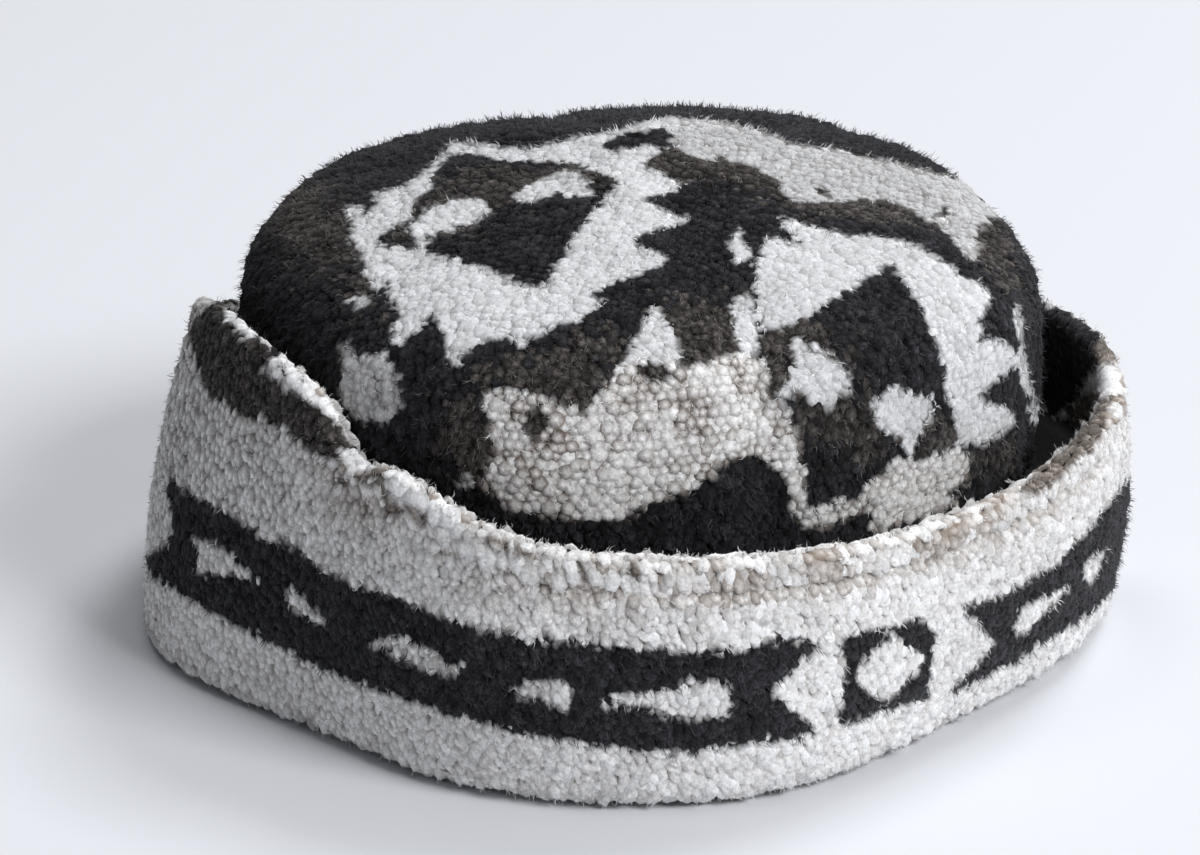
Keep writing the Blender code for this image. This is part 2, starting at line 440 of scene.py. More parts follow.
def photo_pixel(points):
    """Where points of the cap lie in the photo, in its pixels."""
    back, right, up = camera_axes()
    away = points - camera_place()
    scale = PHOTO_WIDE / 2.0 / math.tan(CAMERA_ACROSS / 2.0)
    depth = -(away @ back)
    x = PHOTO_WIDE / 2.0 + PHOTO_SLIDE + scale * (away @ right) / depth
    y = PHOTO_HIGH / 2.0 - scale * (away @ up) / depth
    return np.stack((x, y), -1)


# Motifs of the crown, charted in the photo's pixels, later ones on top
CROWN_MOTIFS = (
    # left side, brown over charcoal
    (BROWN, ((275, 195), (288, 180), (325, 183), (342, 200), (350, 225), (356, 250), (352, 275), (340, 283),
        (318, 272), (298, 262), (270, 240), (262, 220))),
    (BROWN, ((350, 282), (362, 266), (372, 285), (378, 300), (372, 322), (352, 322))),
    # thin strip and tuft beside the left seam
    (WHITE, ((346, 208), (352, 203), (362, 206), (368, 217), (377, 233), (380, 250), (379, 262), (384, 280),
        (386, 293), (376, 292), (367, 283), (363, 262), (358, 247), (350, 238), (354, 226))),
    (WHITE, ((350, 299), (360, 294), (370, 300), (368, 307), (358, 309), (351, 305))),
    (GREY, ((338, 345), (345, 342), (350, 352), (362, 358), (385, 352), (388, 362), (396, 372), (398, 385),
        (403, 400), (400, 413), (385, 422), (365, 426), (352, 418), (341, 405), (338, 390), (342, 370))),
    # arc over the top, left of the place where the seams meet
    (WHITE, ((366, 217), (374, 205), (376, 192), (390, 188), (404, 186), (412, 178), (424, 172), (432, 164),
        (441, 157), (447, 144), (480, 141), (505, 147), (530, 150), (545, 145), (560, 140), (590, 135),
        (620, 129), (645, 121), (672, 116), (690, 120), (688, 172), (668, 178), (655, 172), (640, 175),
        (622, 184), (606, 176), (590, 168), (570, 163), (540, 160), (505, 160), (480, 155), (452, 153),
        (440, 165), (430, 185), (424, 200), (414, 214), (400, 224), (385, 230), (379, 238), (374, 232))),
    (CHARCOAL, ((602, 144), (615, 135), (640, 131), (662, 127), (672, 132), (676, 145), (664, 150),
        (650, 144), (640, 147), (622, 150), (606, 150))),
    # dark field inside the arc, brown at its top
    (CHARCOAL, ((440, 166), (455, 152), (480, 155), (505, 160), (540, 160), (575, 163), (600, 171),
        (622, 182), (612, 190), (598, 202), (592, 212), (583, 222), (575, 240), (563, 250), (556, 262),
        (552, 275), (544, 286), (535, 281), (515, 272), (500, 265), (480, 258), (460, 255), (440, 252),
        (422, 244), (400, 243), (385, 242), (381, 236), (395, 226), (410, 217), (414, 205), (422, 195),
        (430, 186), (434, 174))),
    (BROWN, ((428, 196), (450, 182), (480, 166), (520, 166), (560, 161), (600, 171), (618, 183), (600, 187),
        (580, 177), (550, 182), (522, 188), (512, 202), (492, 207), (484, 222), (472, 232), (455, 238),
        (440, 235), (430, 242), (415, 235), (408, 222), (412, 208))),
    (BROWN, ((382, 234), (398, 225), (412, 228), (420, 241), (400, 242))),
    (WHITE, ((406, 224), (424, 214), (430, 206), (445, 203), (456, 198), (478, 199), (487, 204), (486, 213),
        (480, 222), (468, 226), (456, 226), (450, 236), (440, 231), (428, 236), (421, 250), (413, 240),
        (412, 231))),
    (WHITE, ((514, 200), (520, 188), (535, 181), (548, 175), (562, 170), (577, 172), (586, 180), (592, 190),
        (600, 197), (590, 196), (575, 197), (563, 194), (553, 191), (543, 201), (524, 202))),
    # big toothed zigzag
    (WHITE, ((382, 244), (388, 248), (400, 247), (422, 250), (440, 257), (460, 261), (480, 266), (495, 272),
        (510, 278), (525, 284), (540, 288), (550, 280), (556, 266), (565, 251), (575, 238), (583, 224),
        (593, 210), (604, 198), (615, 187), (626, 180), (642, 174), (655, 170), (668, 176), (680, 182),
        (690, 181), (676, 190), (655, 196), (640, 200), (654, 204), (666, 212), (690, 217), (672, 226),
        (652, 232), (630, 240), (642, 247), (655, 251), (668, 260), (656, 267), (640, 271), (625, 279),
        (612, 283), (598, 289), (590, 296), (606, 301), (594, 309), (578, 319), (560, 323), (545, 331),
        (530, 338), (523, 346), (514, 344), (508, 336), (494, 337), (481, 343), (470, 350), (462, 361),
        (455, 368), (446, 361), (446, 343), (441, 330), (439, 318), (434, 313), (427, 321), (414, 331),
        (405, 339), (396, 335), (394, 325), (399, 315), (393, 303), (390, 290), (385, 280), (380, 266))),
    (WHITE, ((382, 342), (396, 338), (404, 342), (396, 347))),
    # brown below the zigzag and above the middle
    (BROWN, ((468, 378), (484, 370), (500, 362), (530, 356), (560, 344), (590, 326), (612, 330), (628, 343),
        (614, 362), (602, 385), (590, 406), (560, 402), (530, 394), (500, 390), (484, 392))),
    (BROWN, ((656, 304), (668, 296), (690, 292), (716, 298), (734, 312), (738, 335), (740, 354), (715, 360),
        (698, 366), (684, 358), (676, 336), (664, 318))),
    (BROWN, ((430, 415), (450, 402), (480, 402), (494, 440), (498, 470), (480, 490), (455, 482),
        (440, 450))),
    (GREY, ((458, 478), (470, 476), (474, 484), (464, 489))),
    (BROWN, ((642, 166), (650, 157), (664, 150), (680, 146), (690, 156), (705, 160), (722, 157), (742, 163),
        (760, 171), (778, 178), (784, 195), (770, 203), (750, 190), (720, 182), (700, 178), (684, 181),
        (668, 176), (655, 170))),
    # pale middle of the front, with a white peak, and a strip beside the front seam
    (MOTTLED, ((480, 398), (495, 390), (512, 390), (528, 396), (548, 400), (570, 405), (586, 411),
        (598, 400), (605, 385), (614, 375), (620, 361), (640, 358), (665, 361), (682, 362), (700, 368),
        (716, 358), (735, 355), (757, 357), (765, 366), (770, 395), (782, 402), (792, 420), (798, 436),
        (802, 452), (804, 472), (804, 492), (806, 511), (822, 508), (842, 502), (862, 496), (866, 482),
        (882, 474), (892, 467), (898, 460), (915, 460), (934, 457), (950, 449), (965, 450), (970, 464),
        (972, 478), (962, 488), (950, 492), (958, 503), (944, 508), (930, 520), (900, 524), (880, 532),
        (868, 538), (874, 524), (870, 514), (852, 516), (836, 521), (822, 528), (810, 532), (800, 526),
        (794, 515), (790, 500), (788, 486), (784, 476), (776, 468), (764, 460), (752, 456), (738, 458),
        (720, 463), (714, 471), (700, 479), (690, 490), (664, 500), (652, 504), (640, 509), (620, 519),
        (590, 521), (560, 520), (540, 516), (520, 511), (502, 505), (495, 495), (487, 490), (483, 480),
        (489, 465), (491, 450), (488, 435), (493, 420), (484, 410))),
    (WHITE, ((627, 354), (634, 340), (640, 328), (648, 316), (655, 304), (664, 317), (672, 330), (679, 345),
        (684, 360), (660, 362), (640, 360), (622, 362))),
    (WHITE, ((733, 298), (745, 296), (756, 299), (757, 345), (752, 358), (741, 355), (735, 335))),
    (WHITE, ((728, 247), (733, 234), (738, 225), (742, 236), (745, 246), (753, 252), (748, 260), (738, 266),
        (733, 258))),
    (BROWN, ((632, 364), (655, 362), (672, 372), (670, 381), (655, 383), (640, 378))),
    (BROWN, ((526, 412), (538, 406), (547, 416), (545, 431), (531, 440), (525, 426))),
    # pale band at the top right, charcoal and brown under it
    (GREY, ((676, 120), (700, 118), (725, 121), (755, 128), (780, 138), (800, 145), (840, 149), (870, 157),
        (900, 163), (930, 170), (955, 178), (975, 182), (990, 192), (1001, 201), (996, 215), (986, 222),
        (976, 232), (981, 250), (976, 262), (965, 256), (955, 241), (945, 232), (935, 224), (920, 216),
        (905, 208), (900, 204), (880, 203), (850, 205), (820, 203), (800, 203), (790, 198), (782, 190),
        (778, 178), (760, 171), (742, 163), (722, 157), (705, 160), (690, 156), (680, 148))),
    (BROWN, ((812, 184), (822, 186), (831, 192), (828, 197), (818, 192))),
    (BROWN, ((934, 212), (944, 205), (952, 208), (948, 215), (938, 218))),
    (BROWN, ((782, 204), (800, 202), (850, 201), (884, 200), (902, 206), (920, 213), (924, 224), (900, 226),
        (870, 221), (830, 217), (804, 214))),
    (BROWN, ((976, 234), (986, 222), (998, 216), (1007, 226), (1013, 245), (1014, 270), (1010, 296),
        (998, 292), (988, 276), (980, 260))),
    # big white corner of the right front panel
    (WHITE, ((757, 298), (756, 285), (755, 270), (757, 258), (766, 240), (778, 236), (788, 244), (800, 243),
        (795, 234), (785, 228), (776, 221), (782, 217), (800, 220), (815, 228), (830, 231), (850, 236),
        (870, 234), (890, 238), (905, 241), (920, 247), (935, 258), (950, 266), (960, 275), (975, 281),
        (985, 290), (993, 297), (986, 310), (979, 320), (985, 330), (979, 340), (1000, 341), (1012, 349),
        (1021, 358), (1015, 368), (1003, 376), (990, 386), (979, 396), (986, 402), (996, 404), (1008, 409),
        (1018, 418), (1012, 427), (1000, 434), (990, 441), (980, 446), (966, 441), (957, 450), (955, 430),
        (955, 410), (949, 400), (944, 385), (945, 370), (940, 355), (934, 340), (929, 325), (924, 310),
        (918, 298), (910, 290), (905, 280), (899, 271), (893, 264), (880, 271), (866, 277), (856, 290),
        (840, 298), (825, 305), (810, 312), (800, 320), (785, 325), (770, 328), (759, 331))),
    # lower right of the front, brown with white patches
    (BROWN, ((760, 334), (790, 325), (815, 321), (824, 334), (850, 352), (862, 372), (846, 380), (812, 400),
        (785, 400), (775, 392), (768, 368), (761, 352))),
    (WHITE, ((792, 342), (803, 337), (810, 350), (818, 345), (828, 355), (840, 360), (848, 370), (853, 386),
        (845, 395), (835, 399), (828, 408), (815, 404), (808, 396), (795, 392), (786, 398), (776, 401),
        (781, 388), (790, 378), (794, 362))),
    (BROWN, ((786, 402), (800, 405), (820, 411), (846, 398), (866, 384), (880, 399), (876, 420), (886, 440),
        (898, 454), (880, 458), (850, 455), (820, 450), (806, 445), (800, 428), (792, 413))),
    (WHITE, ((874, 406), (880, 397), (890, 389), (899, 384), (908, 395), (925, 395), (936, 405), (930, 418),
        (920, 430), (915, 444), (912, 456), (905, 449), (898, 436), (885, 432), (876, 422))),
    (BROWN, ((920, 432), (930, 421), (943, 412), (954, 430), (954, 444), (945, 449), (930, 456),
        (917, 457))),
    (BROWN, ((966, 450), (985, 446), (1000, 440), (1014, 436), (1022, 444), (1016, 460), (1008, 472),
        (990, 478), (974, 476))),
    # white along and beyond the right seam
    (WHITE, ((1012, 314), (1018, 303), (1022, 315), (1023, 340), (1026, 356), (1028, 372), (1032, 388),
        (1037, 398), (1030, 401), (1022, 386), (1019, 364), (1020, 345), (1016, 330))),
    (WHITE, ((1026, 410), (1036, 400), (1043, 410), (1052, 411), (1060, 416), (1061, 426), (1056, 440),
        (1046, 450), (1040, 457), (1037, 440), (1036, 425), (1031, 416))),
)

# Motifs of the turned-up band, the same way
BAND_MOTIFS = (
    # brown at the left ear
    (BROWN, ((190, 330), (200, 312), (215, 299), (235, 297), (250, 316), (262, 340), (275, 352), (290, 366),
        (305, 380), (322, 400), (338, 422), (350, 442), (346, 458), (328, 458), (308, 452), (290, 434),
        (268, 424), (246, 414), (225, 406), (210, 398), (202, 385), (196, 365))),
    (BRIGHT, ((221, 318), (228, 306), (238, 303), (246, 312), (254, 320), (259, 330), (252, 338),
        (243, 337), (235, 326), (228, 320))),
    (BRIGHT, ((262, 366), (270, 360), (278, 355), (290, 362), (302, 364), (307, 374), (316, 380),
        (322, 391), (330, 401), (337, 413), (338, 422), (326, 416), (316, 408), (306, 400), (296, 392),
        (284, 384), (272, 378))),
    (BRIGHT, ((341, 458), (346, 447), (354, 446), (362, 450), (378, 462), (372, 467), (360, 466),
        (350, 464))),
    (BRIGHT, ((381, 478), (386, 471), (394, 468), (402, 474), (412, 484), (422, 494), (440, 500),
        (455, 507), (470, 517), (464, 530), (455, 538), (440, 531), (428, 521), (418, 508), (402, 500),
        (391, 490))),
    (BRIGHT, ((566, 531), (574, 520), (590, 519), (610, 524), (625, 531), (645, 539), (658, 543),
        (640, 549), (620, 549), (600, 546), (580, 545))),
    # brown flecks below the free edge at the front left
    (TAN, ((330, 474), (340, 476), (350, 482), (346, 487), (335, 483))),
    (TAN, ((352, 470), (362, 468), (374, 474), (384, 482), (380, 487), (368, 481), (357, 477))),
    (TAN, ((378, 487), (386, 493), (394, 503), (404, 510), (400, 517), (390, 511), (381, 501))),
    (TAN, ((405, 502), (413, 509), (424, 515), (430, 524), (422, 527), (411, 518))),
    (TAN, ((486, 536), (498, 540), (512, 547), (508, 553), (496, 549), (487, 543))),
    (TAN, ((514, 547), (526, 551), (540, 557), (536, 562), (522, 558))),
    (TAN, ((576, 557), (584, 561), (592, 572), (588, 582), (580, 573))),
    (TAN, ((624, 557), (632, 563), (641, 574), (637, 582), (628, 573))),
    # long stripe with fishtail ends
    (CHARCOAL, ((168, 470), (180, 488), (200, 498), (216, 505), (235, 518), (250, 530), (264, 540),
        (285, 542), (300, 551), (315, 564), (330, 574), (350, 583), (370, 588), (390, 594), (402, 599),
        (418, 608), (436, 615), (455, 622), (475, 628), (495, 632), (520, 638), (545, 640), (572, 641),
        (600, 644), (640, 648), (680, 651), (722, 651), (746, 647), (770, 642), (800, 640), (820, 640),
        (812, 652), (800, 664), (785, 676), (770, 692), (785, 706), (800, 716), (812, 725), (816, 732),
        (808, 738), (790, 740), (775, 741), (750, 744), (725, 748), (700, 751), (670, 752), (640, 751),
        (600, 748), (575, 742), (545, 737), (520, 733), (500, 728), (475, 722), (450, 717), (430, 710),
        (410, 702), (390, 695), (365, 686), (345, 680), (320, 668), (295, 658), (275, 646), (255, 636),
        (235, 625), (212, 614), (190, 600), (170, 589), (150, 575), (141, 560), (150, 552), (166, 547),
        (172, 534), (171, 515), (166, 495))),
    (CREAM, ((600, 700), (618, 697), (640, 694), (665, 690), (690, 684), (712, 682), (725, 682), (730, 690),
        (731, 706), (727, 719), (715, 716), (700, 719), (685, 718), (665, 713), (645, 708), (625, 706))),
    (CREAM, ((506, 685), (515, 690), (526, 681), (545, 680), (562, 682), (568, 686), (570, 700), (563, 712),
        (553, 708), (543, 700), (530, 697), (520, 694))),
    (CREAM, ((368, 645), (382, 640), (404, 637), (412, 643), (425, 650), (438, 658), (450, 664), (464, 668),
        (455, 674), (440, 672), (430, 671), (415, 666), (400, 659), (385, 650))),
    (CREAM, ((287, 590), (292, 586), (298, 596), (308, 604), (318, 612), (330, 623), (318, 622), (308, 617),
        (296, 612), (289, 603))),
    (CREAM, ((188, 538), (200, 537), (212, 543), (222, 550), (233, 556), (240, 563), (250, 572), (260, 579),
        (248, 579), (232, 575), (215, 573), (198, 574), (195, 562), (198, 548))),
    # square with a pale diamond in it
    (CHARCOAL, ((845, 635), (860, 632), (885, 630), (905, 623), (925, 619), (934, 626), (937, 640),
        (932, 655), (930, 670), (928, 690), (926, 701), (905, 706), (885, 712), (865, 718), (850, 724),
        (839, 727), (841, 712), (844, 695), (846, 675), (843, 660), (842, 645))),
    (CREAM, ((890, 638), (900, 642), (915, 650), (925, 655), (918, 668), (908, 680), (898, 692), (888, 702),
        (880, 704), (872, 696), (864, 688), (857, 680), (860, 668), (868, 656), (878, 646))),
    # stripe on the right
    (CHARCOAL, ((960, 608), (975, 602), (990, 600), (1005, 597), (1020, 585), (1035, 576), (1050, 568),
        (1062, 560), (1070, 548), (1082, 538), (1092, 526), (1098, 515), (1108, 505), (1118, 492),
        (1126, 482), (1140, 470), (1140, 560), (1128, 570), (1118, 582), (1105, 600), (1090, 615),
        (1075, 625), (1055, 635), (1040, 645), (1025, 657), (1010, 665), (995, 672), (980, 681), (965, 689),
        (953, 694), (951, 688), (962, 680), (975, 668), (985, 655), (996, 643), (985, 632), (975, 622),
        (966, 614))),
    (CREAM, ((1019, 612), (1022, 606), (1035, 600), (1050, 595), (1062, 590), (1074, 584), (1060, 598),
        (1048, 610), (1038, 620), (1028, 632), (1019, 640), (1016, 628))),
    (CREAM, ((1085, 568), (1087, 560), (1095, 556), (1108, 548), (1101, 565), (1096, 578), (1088, 584),
        (1084, 576))),
    # brown and white at the right ear
    (TAN, ((1018, 495), (1026, 480), (1036, 466), (1047, 450), (1057, 436), (1066, 420), (1074, 404),
        (1084, 390), (1094, 386), (1106, 396), (1109, 411), (1106, 427), (1096, 445), (1081, 461),
        (1066, 474), (1051, 486), (1036, 497))),
    (CHARCOAL, ((1040, 300), (1068, 310), (1096, 330), (1104, 342), (1098, 352), (1096, 366), (1086, 382),
        (1076, 398), (1066, 412), (1052, 416), (1040, 400))),
    (TAN, ((1094, 344), (1105, 338), (1116, 350), (1122, 362), (1106, 366), (1096, 360))),
    (BRIGHT, ((1086, 390), (1089, 378), (1097, 370), (1107, 365), (1122, 368), (1122, 388), (1113, 392),
        (1105, 390), (1097, 395))),
    (TAN, ((1108, 398), (1113, 393), (1116, 402), (1110, 409))),
)

# Far side of the band, by azimuth: bars with fishtail ends and framed diamonds, degrees
FAR_BARS = ((64.0, 156.0), (190.0, 240.0), (270.0, 286.0))
FAR_SQUARES = ((164.0, 176.0), (248.0, 260.0))
FAR_BAR_NOTCH = 5.0
FAR_WEDGE_STEP = 24.0
# Lower and upper edge of the stripe there at each end, mm
FAR_STRIPE_LOW = (7.0, 16.0)
FAR_STRIPE_HIGH = (30.0, 44.0)
# A pale wedge in each step of a bar: where it starts and ends, and how high it opens
FAR_WEDGE = (0.30, 0.82)
FAR_WEDGE_OPEN = 0.75
FAR_WEDGE_MARGINS = (9.0, 7.0)
FAR_DIAMOND = 0.8
# Brown wedges behind both ears, azimuth and half width at the rim, narrower further down
FAR_BROWNS = ((-112.0, 30.0), (100.0, 26.0))
FAR_BROWN_TAPER = 60.0
# The flap's inner face is pale between these azimuths and charcoal elsewhere
LINING_PALE = (-66.0, 62.0)


def inside(outline, x, y):
    """Which points lie inside a closed outline."""
    corners = np.array(outline, float)
    low = corners.min(0)
    high = corners.max(0)
    near = np.nonzero((x > low[0]) & (x < high[0]) & (y > low[1]) & (y < high[1]))[0]
    whole = np.zeros(len(x), bool)
    x = x[near]
    y = y[near]
    ahead = np.roll(corners, -1, 0)
    hits = np.zeros(len(x), bool)
    for (ax, ay), (bx, by) in zip(corners, ahead):
        crosses = (ay > y) != (by > y)
        rise = by - ay if by != ay else 1.0
        hits ^= crosses & (x < (bx - ax) * (y - ay) / rise + ax)
    whole[near] = hits
    return whole


def charted(motifs, ground, pixels):
    """Colour number of each point from its pixel in the photo."""
    colour = np.full(len(pixels), ground)
    for number, outline in motifs:
        colour[inside(outline, pixels[:, 0], pixels[:, 1])] = number
    return colour


def facing_camera(points, normals):
    """How far each face turns to the photo's camera, one for straight at it."""
    return np.sum(unit(camera_place() - points) * normals, -1)


def surface_frame(place, first, second):
    """Two tangents and the outward normal of a surface given by two numbers."""
    step = 1e-3
    along = unit(place(first + step, second) - place(first - step, second))
    down = place(first, second + step) - place(first, second - step)
    normal = unit(np.cross(down, along))
    return along, np.cross(along, normal), normal


def crown_colour(points, normals, azimuth, station):
    """Colour number at each point of the crown. What the photo hides mirrors what it shows."""
    colour = charted(CROWN_MOTIFS, CHARCOAL, photo_pixel(points))
    turned = np.degrees(azimuth) % 360.0
    centre = np.where(turned < CROWN_MIRROR_SPLIT, CROWN_MIRROR_RIGHT, CROWN_MIRROR_LEFT)
    other = crown_point(np.radians(2.0 * centre - turned), station, 0.0)
    far = charted(CROWN_MOTIFS, CHARCOAL, photo_pixel(other))
    # a plain ridge parts the seen side from its mirror image
    ridge = (station > RIDGE_STATIONS[0]) & (station < RIDGE_STATIONS[1])
    far = np.where(ridge, CHARCOAL, far)
    return np.where(facing_camera(points, normals) < CROWN_HIDDEN, far, colour)


def band_far_colour(azimuth, height):
    """Colour number of the band where the photo doesn't show it."""
    turned = np.degrees(azimuth) % 360.0
    share = np.clip((turned - 90.0) / 180.0, 0.0, 1.0)
    low = (FAR_STRIPE_LOW[0] + (FAR_STRIPE_LOW[1] - FAR_STRIPE_LOW[0]) * share) * MM
    high = (FAR_STRIPE_HIGH[0] + (FAR_STRIPE_HIGH[1] - FAR_STRIPE_HIGH[0]) * share) * MM
    across = (height - low) / (high - low)
    middle = np.abs(across - 0.5) * 2.0
    colour = np.full(azimuth.shape, CREAM)
    for start, end in FAR_BARS:
        notch = FAR_BAR_NOTCH * (1.0 - middle)
        bar = (middle < 1.0) & (turned > start + notch) & (turned < end - notch)
        colour = np.where(bar, CHARCOAL, colour)
        along = ((turned - start) % FAR_WEDGE_STEP) / FAR_WEDGE_STEP
        opened = FAR_WEDGE_OPEN * (along - FAR_WEDGE[0]) / (FAR_WEDGE[1] - FAR_WEDGE[0])
        wedge = bar & (along > FAR_WEDGE[0]) & (along < FAR_WEDGE[1]) & (middle < opened)
        wedge &= (turned > start + FAR_WEDGE_MARGINS[0]) & (turned < end - FAR_WEDGE_MARGINS[1])
        colour = np.where(wedge, CREAM, colour)
    for start, end in FAR_SQUARES:
        square = (middle < 1.0) & (turned > start) & (turned < end)
        colour = np.where(square, CHARCOAL, colour)
        sideways = np.abs(turned - (start + end) / 2.0) / (end - start) * 2.0
        colour = np.where(square & (sideways + middle < FAR_DIAMOND), CREAM, colour)
    return colour


def band_colour(points, normals, azimuth, height, inward):
    """Colour number at each point of the band."""
    colour = charted(BAND_MOTIFS, CREAM, photo_pixel(points))
    turned = turned_degrees(azimuth)
    below = 1.0 - height / band_at(azimuth)[2]
    far = band_far_colour(azimuth, height)
    for middle, reach in FAR_BROWNS:
        far = np.where(np.abs(turned - middle) + FAR_BROWN_TAPER * below < reach, BROWN, far)
    lining = np.where((turned < LINING_PALE[0]) | (turned > LINING_PALE[1]), CHARCOAL, CREAM)
    far = np.where(inward, lining, far)
    return np.where(facing_camera(points, normals) < BAND_HIDDEN, far, colour)


def spread_rows(place, start, end, top, bottom, spacing, level_steps=240):
    """Roots of nubs in staggered rows between two limits, evenly spaced on the surface."""
    levels = np.linspace(top, bottom, level_steps)
    middle = np.full(level_steps, (start + end) / 2.0)
    line = place(middle, levels)
    steps = np.linalg.norm(np.diff(line, axis=0), axis=1)
    run = np.concatenate(((0.0,), np.cumsum(steps)))
    count = max(2, int(round(run[-1] / (spacing * ROW_SQUEEZE))))
    rows = np.interp((np.arange(count) + 0.5) / count * run[-1], run, levels)
    firsts = []
    seconds = []
    for number, level in enumerate(rows):
        angles = np.linspace(start, end, 60)
        ring = place(angles, np.full(60, level))
        arcs = np.concatenate(((0.0,), np.cumsum(np.linalg.norm(np.diff(ring, axis=0), axis=1))))
        amount = max(1, int(round(arcs[-1] / spacing)))
        shift = 0.25 if number % 2 else 0.75
        want = (np.arange(amount) + shift) / amount * arcs[-1]
        want += rng.uniform(-ALONG_STRAY, ALONG_STRAY, amount) * spacing
        want = np.clip(want, 0.12 * spacing, arcs[-1] - 0.12 * spacing)
        firsts.append(np.interp(want, arcs, angles))
        seconds.append(np.full(amount, level))
    first = np.concatenate(firsts)
    second = np.concatenate(seconds)
    second = second + rng.uniform(-ROW_STRAY, ROW_STRAY, len(second)) * (bottom - top) / count
    return first, np.clip(second, min(top, bottom), max(top, bottom))


def dome_point(nub, turn, polar, lift):
    """Points on a nub's dome, with its own lean and size."""
    reach = nub["wide"] * np.sin(np.minimum(polar, 1.25) * math.pi / 2.0)
    rise = np.cos(polar * math.pi / 2.0)
    blunt = np.sign(rise) * np.abs(rise) ** 0.75
    height = nub["high"] * (blunt + nub["point"] * (1.0 - polar) ** 2) + lift
    lean = nub["lean"] * np.maximum(height / nub["high"], 0.0) ** 1.5
    ahead = reach * np.cos(turn) * nub["long"] + lean
    beside = reach * np.sin(turn)
    across = ahead * nub["flow_x"] - beside * nub["flow_y"]
    down = ahead * nub["flow_y"] + beside * nub["flow_x"]
    return (nub["root"] + nub["along"] * across[..., None] + nub["down"] * down[..., None]
            + nub["normal"] * height[..., None])


def pick(nub, index):
    """The same table for chosen nubs, one row for each of their fibres."""
    return {key: value[index] for key, value in nub.items()}


def nub_cells(count):
    """Each nub's cell in the flat layout, and the number of cells in a row."""
    cells = int(math.ceil(math.sqrt(count)))
    number = np.arange(count)
    return np.stack(((number % cells) / cells, (number // cells) / cells), -1), cells


def dome_mesh(nub):
    """Corners, their shades and the faces of the domes: two rings of corners and a tip each."""
    count = len(nub["wide"])
    nothing = np.zeros(count)
    points = []
    shades = []
    for (polar, shift), shade in zip(DOME_RINGS, (nothing, nub["crack"])):
        for step in range(SIDES):
            turn = 2.0 * math.pi * (step + shift) / SIDES + nub["spin"]
            wobble = rng.uniform(*DOME_WOBBLE, count)
            points.append(dome_point(nub, turn, polar * wobble, nothing))
            shades.append(shade)
    points.append(dome_point(nub, nothing, nothing, nothing))
    shades.append(np.full(count, 1.0))
    rings = len(DOME_RINGS)
    faces = []
    for step in range(SIDES):
        after = (step + 1) % SIDES
        for ring in range(rings - 1):
            low = ring * SIDES
            high = low + SIDES
            faces.append((low + after, low + step, high + step))
            faces.append((low + after, high + step, high + after))
        last = (rings - 1) * SIDES
        faces.append((last + after, last + step, rings * SIDES))
    faces = np.array(faces)[None] + len(points) * np.arange(count)[:, None, None]
    points = np.stack(points, 1)
    points[..., 2] = np.maximum(points[..., 2], DOME_FLOOR)
    return points, np.stack(shades, 1), faces


def dome_flats(cell, cells):
    """Where the corners of each dome lie in the flat layout."""
    flat = []
    for size, shift in FLAT_RINGS:
        for step in range(SIDES):
            angle = 2.0 * math.pi * (step + shift) / SIDES
            flat.append((0.25 + 0.5 * size * math.cos(angle), 0.5 + size * math.sin(angle)))
    flat.append((0.25, 0.5))
    return cell[:, None] + np.array(flat)[None] / cells


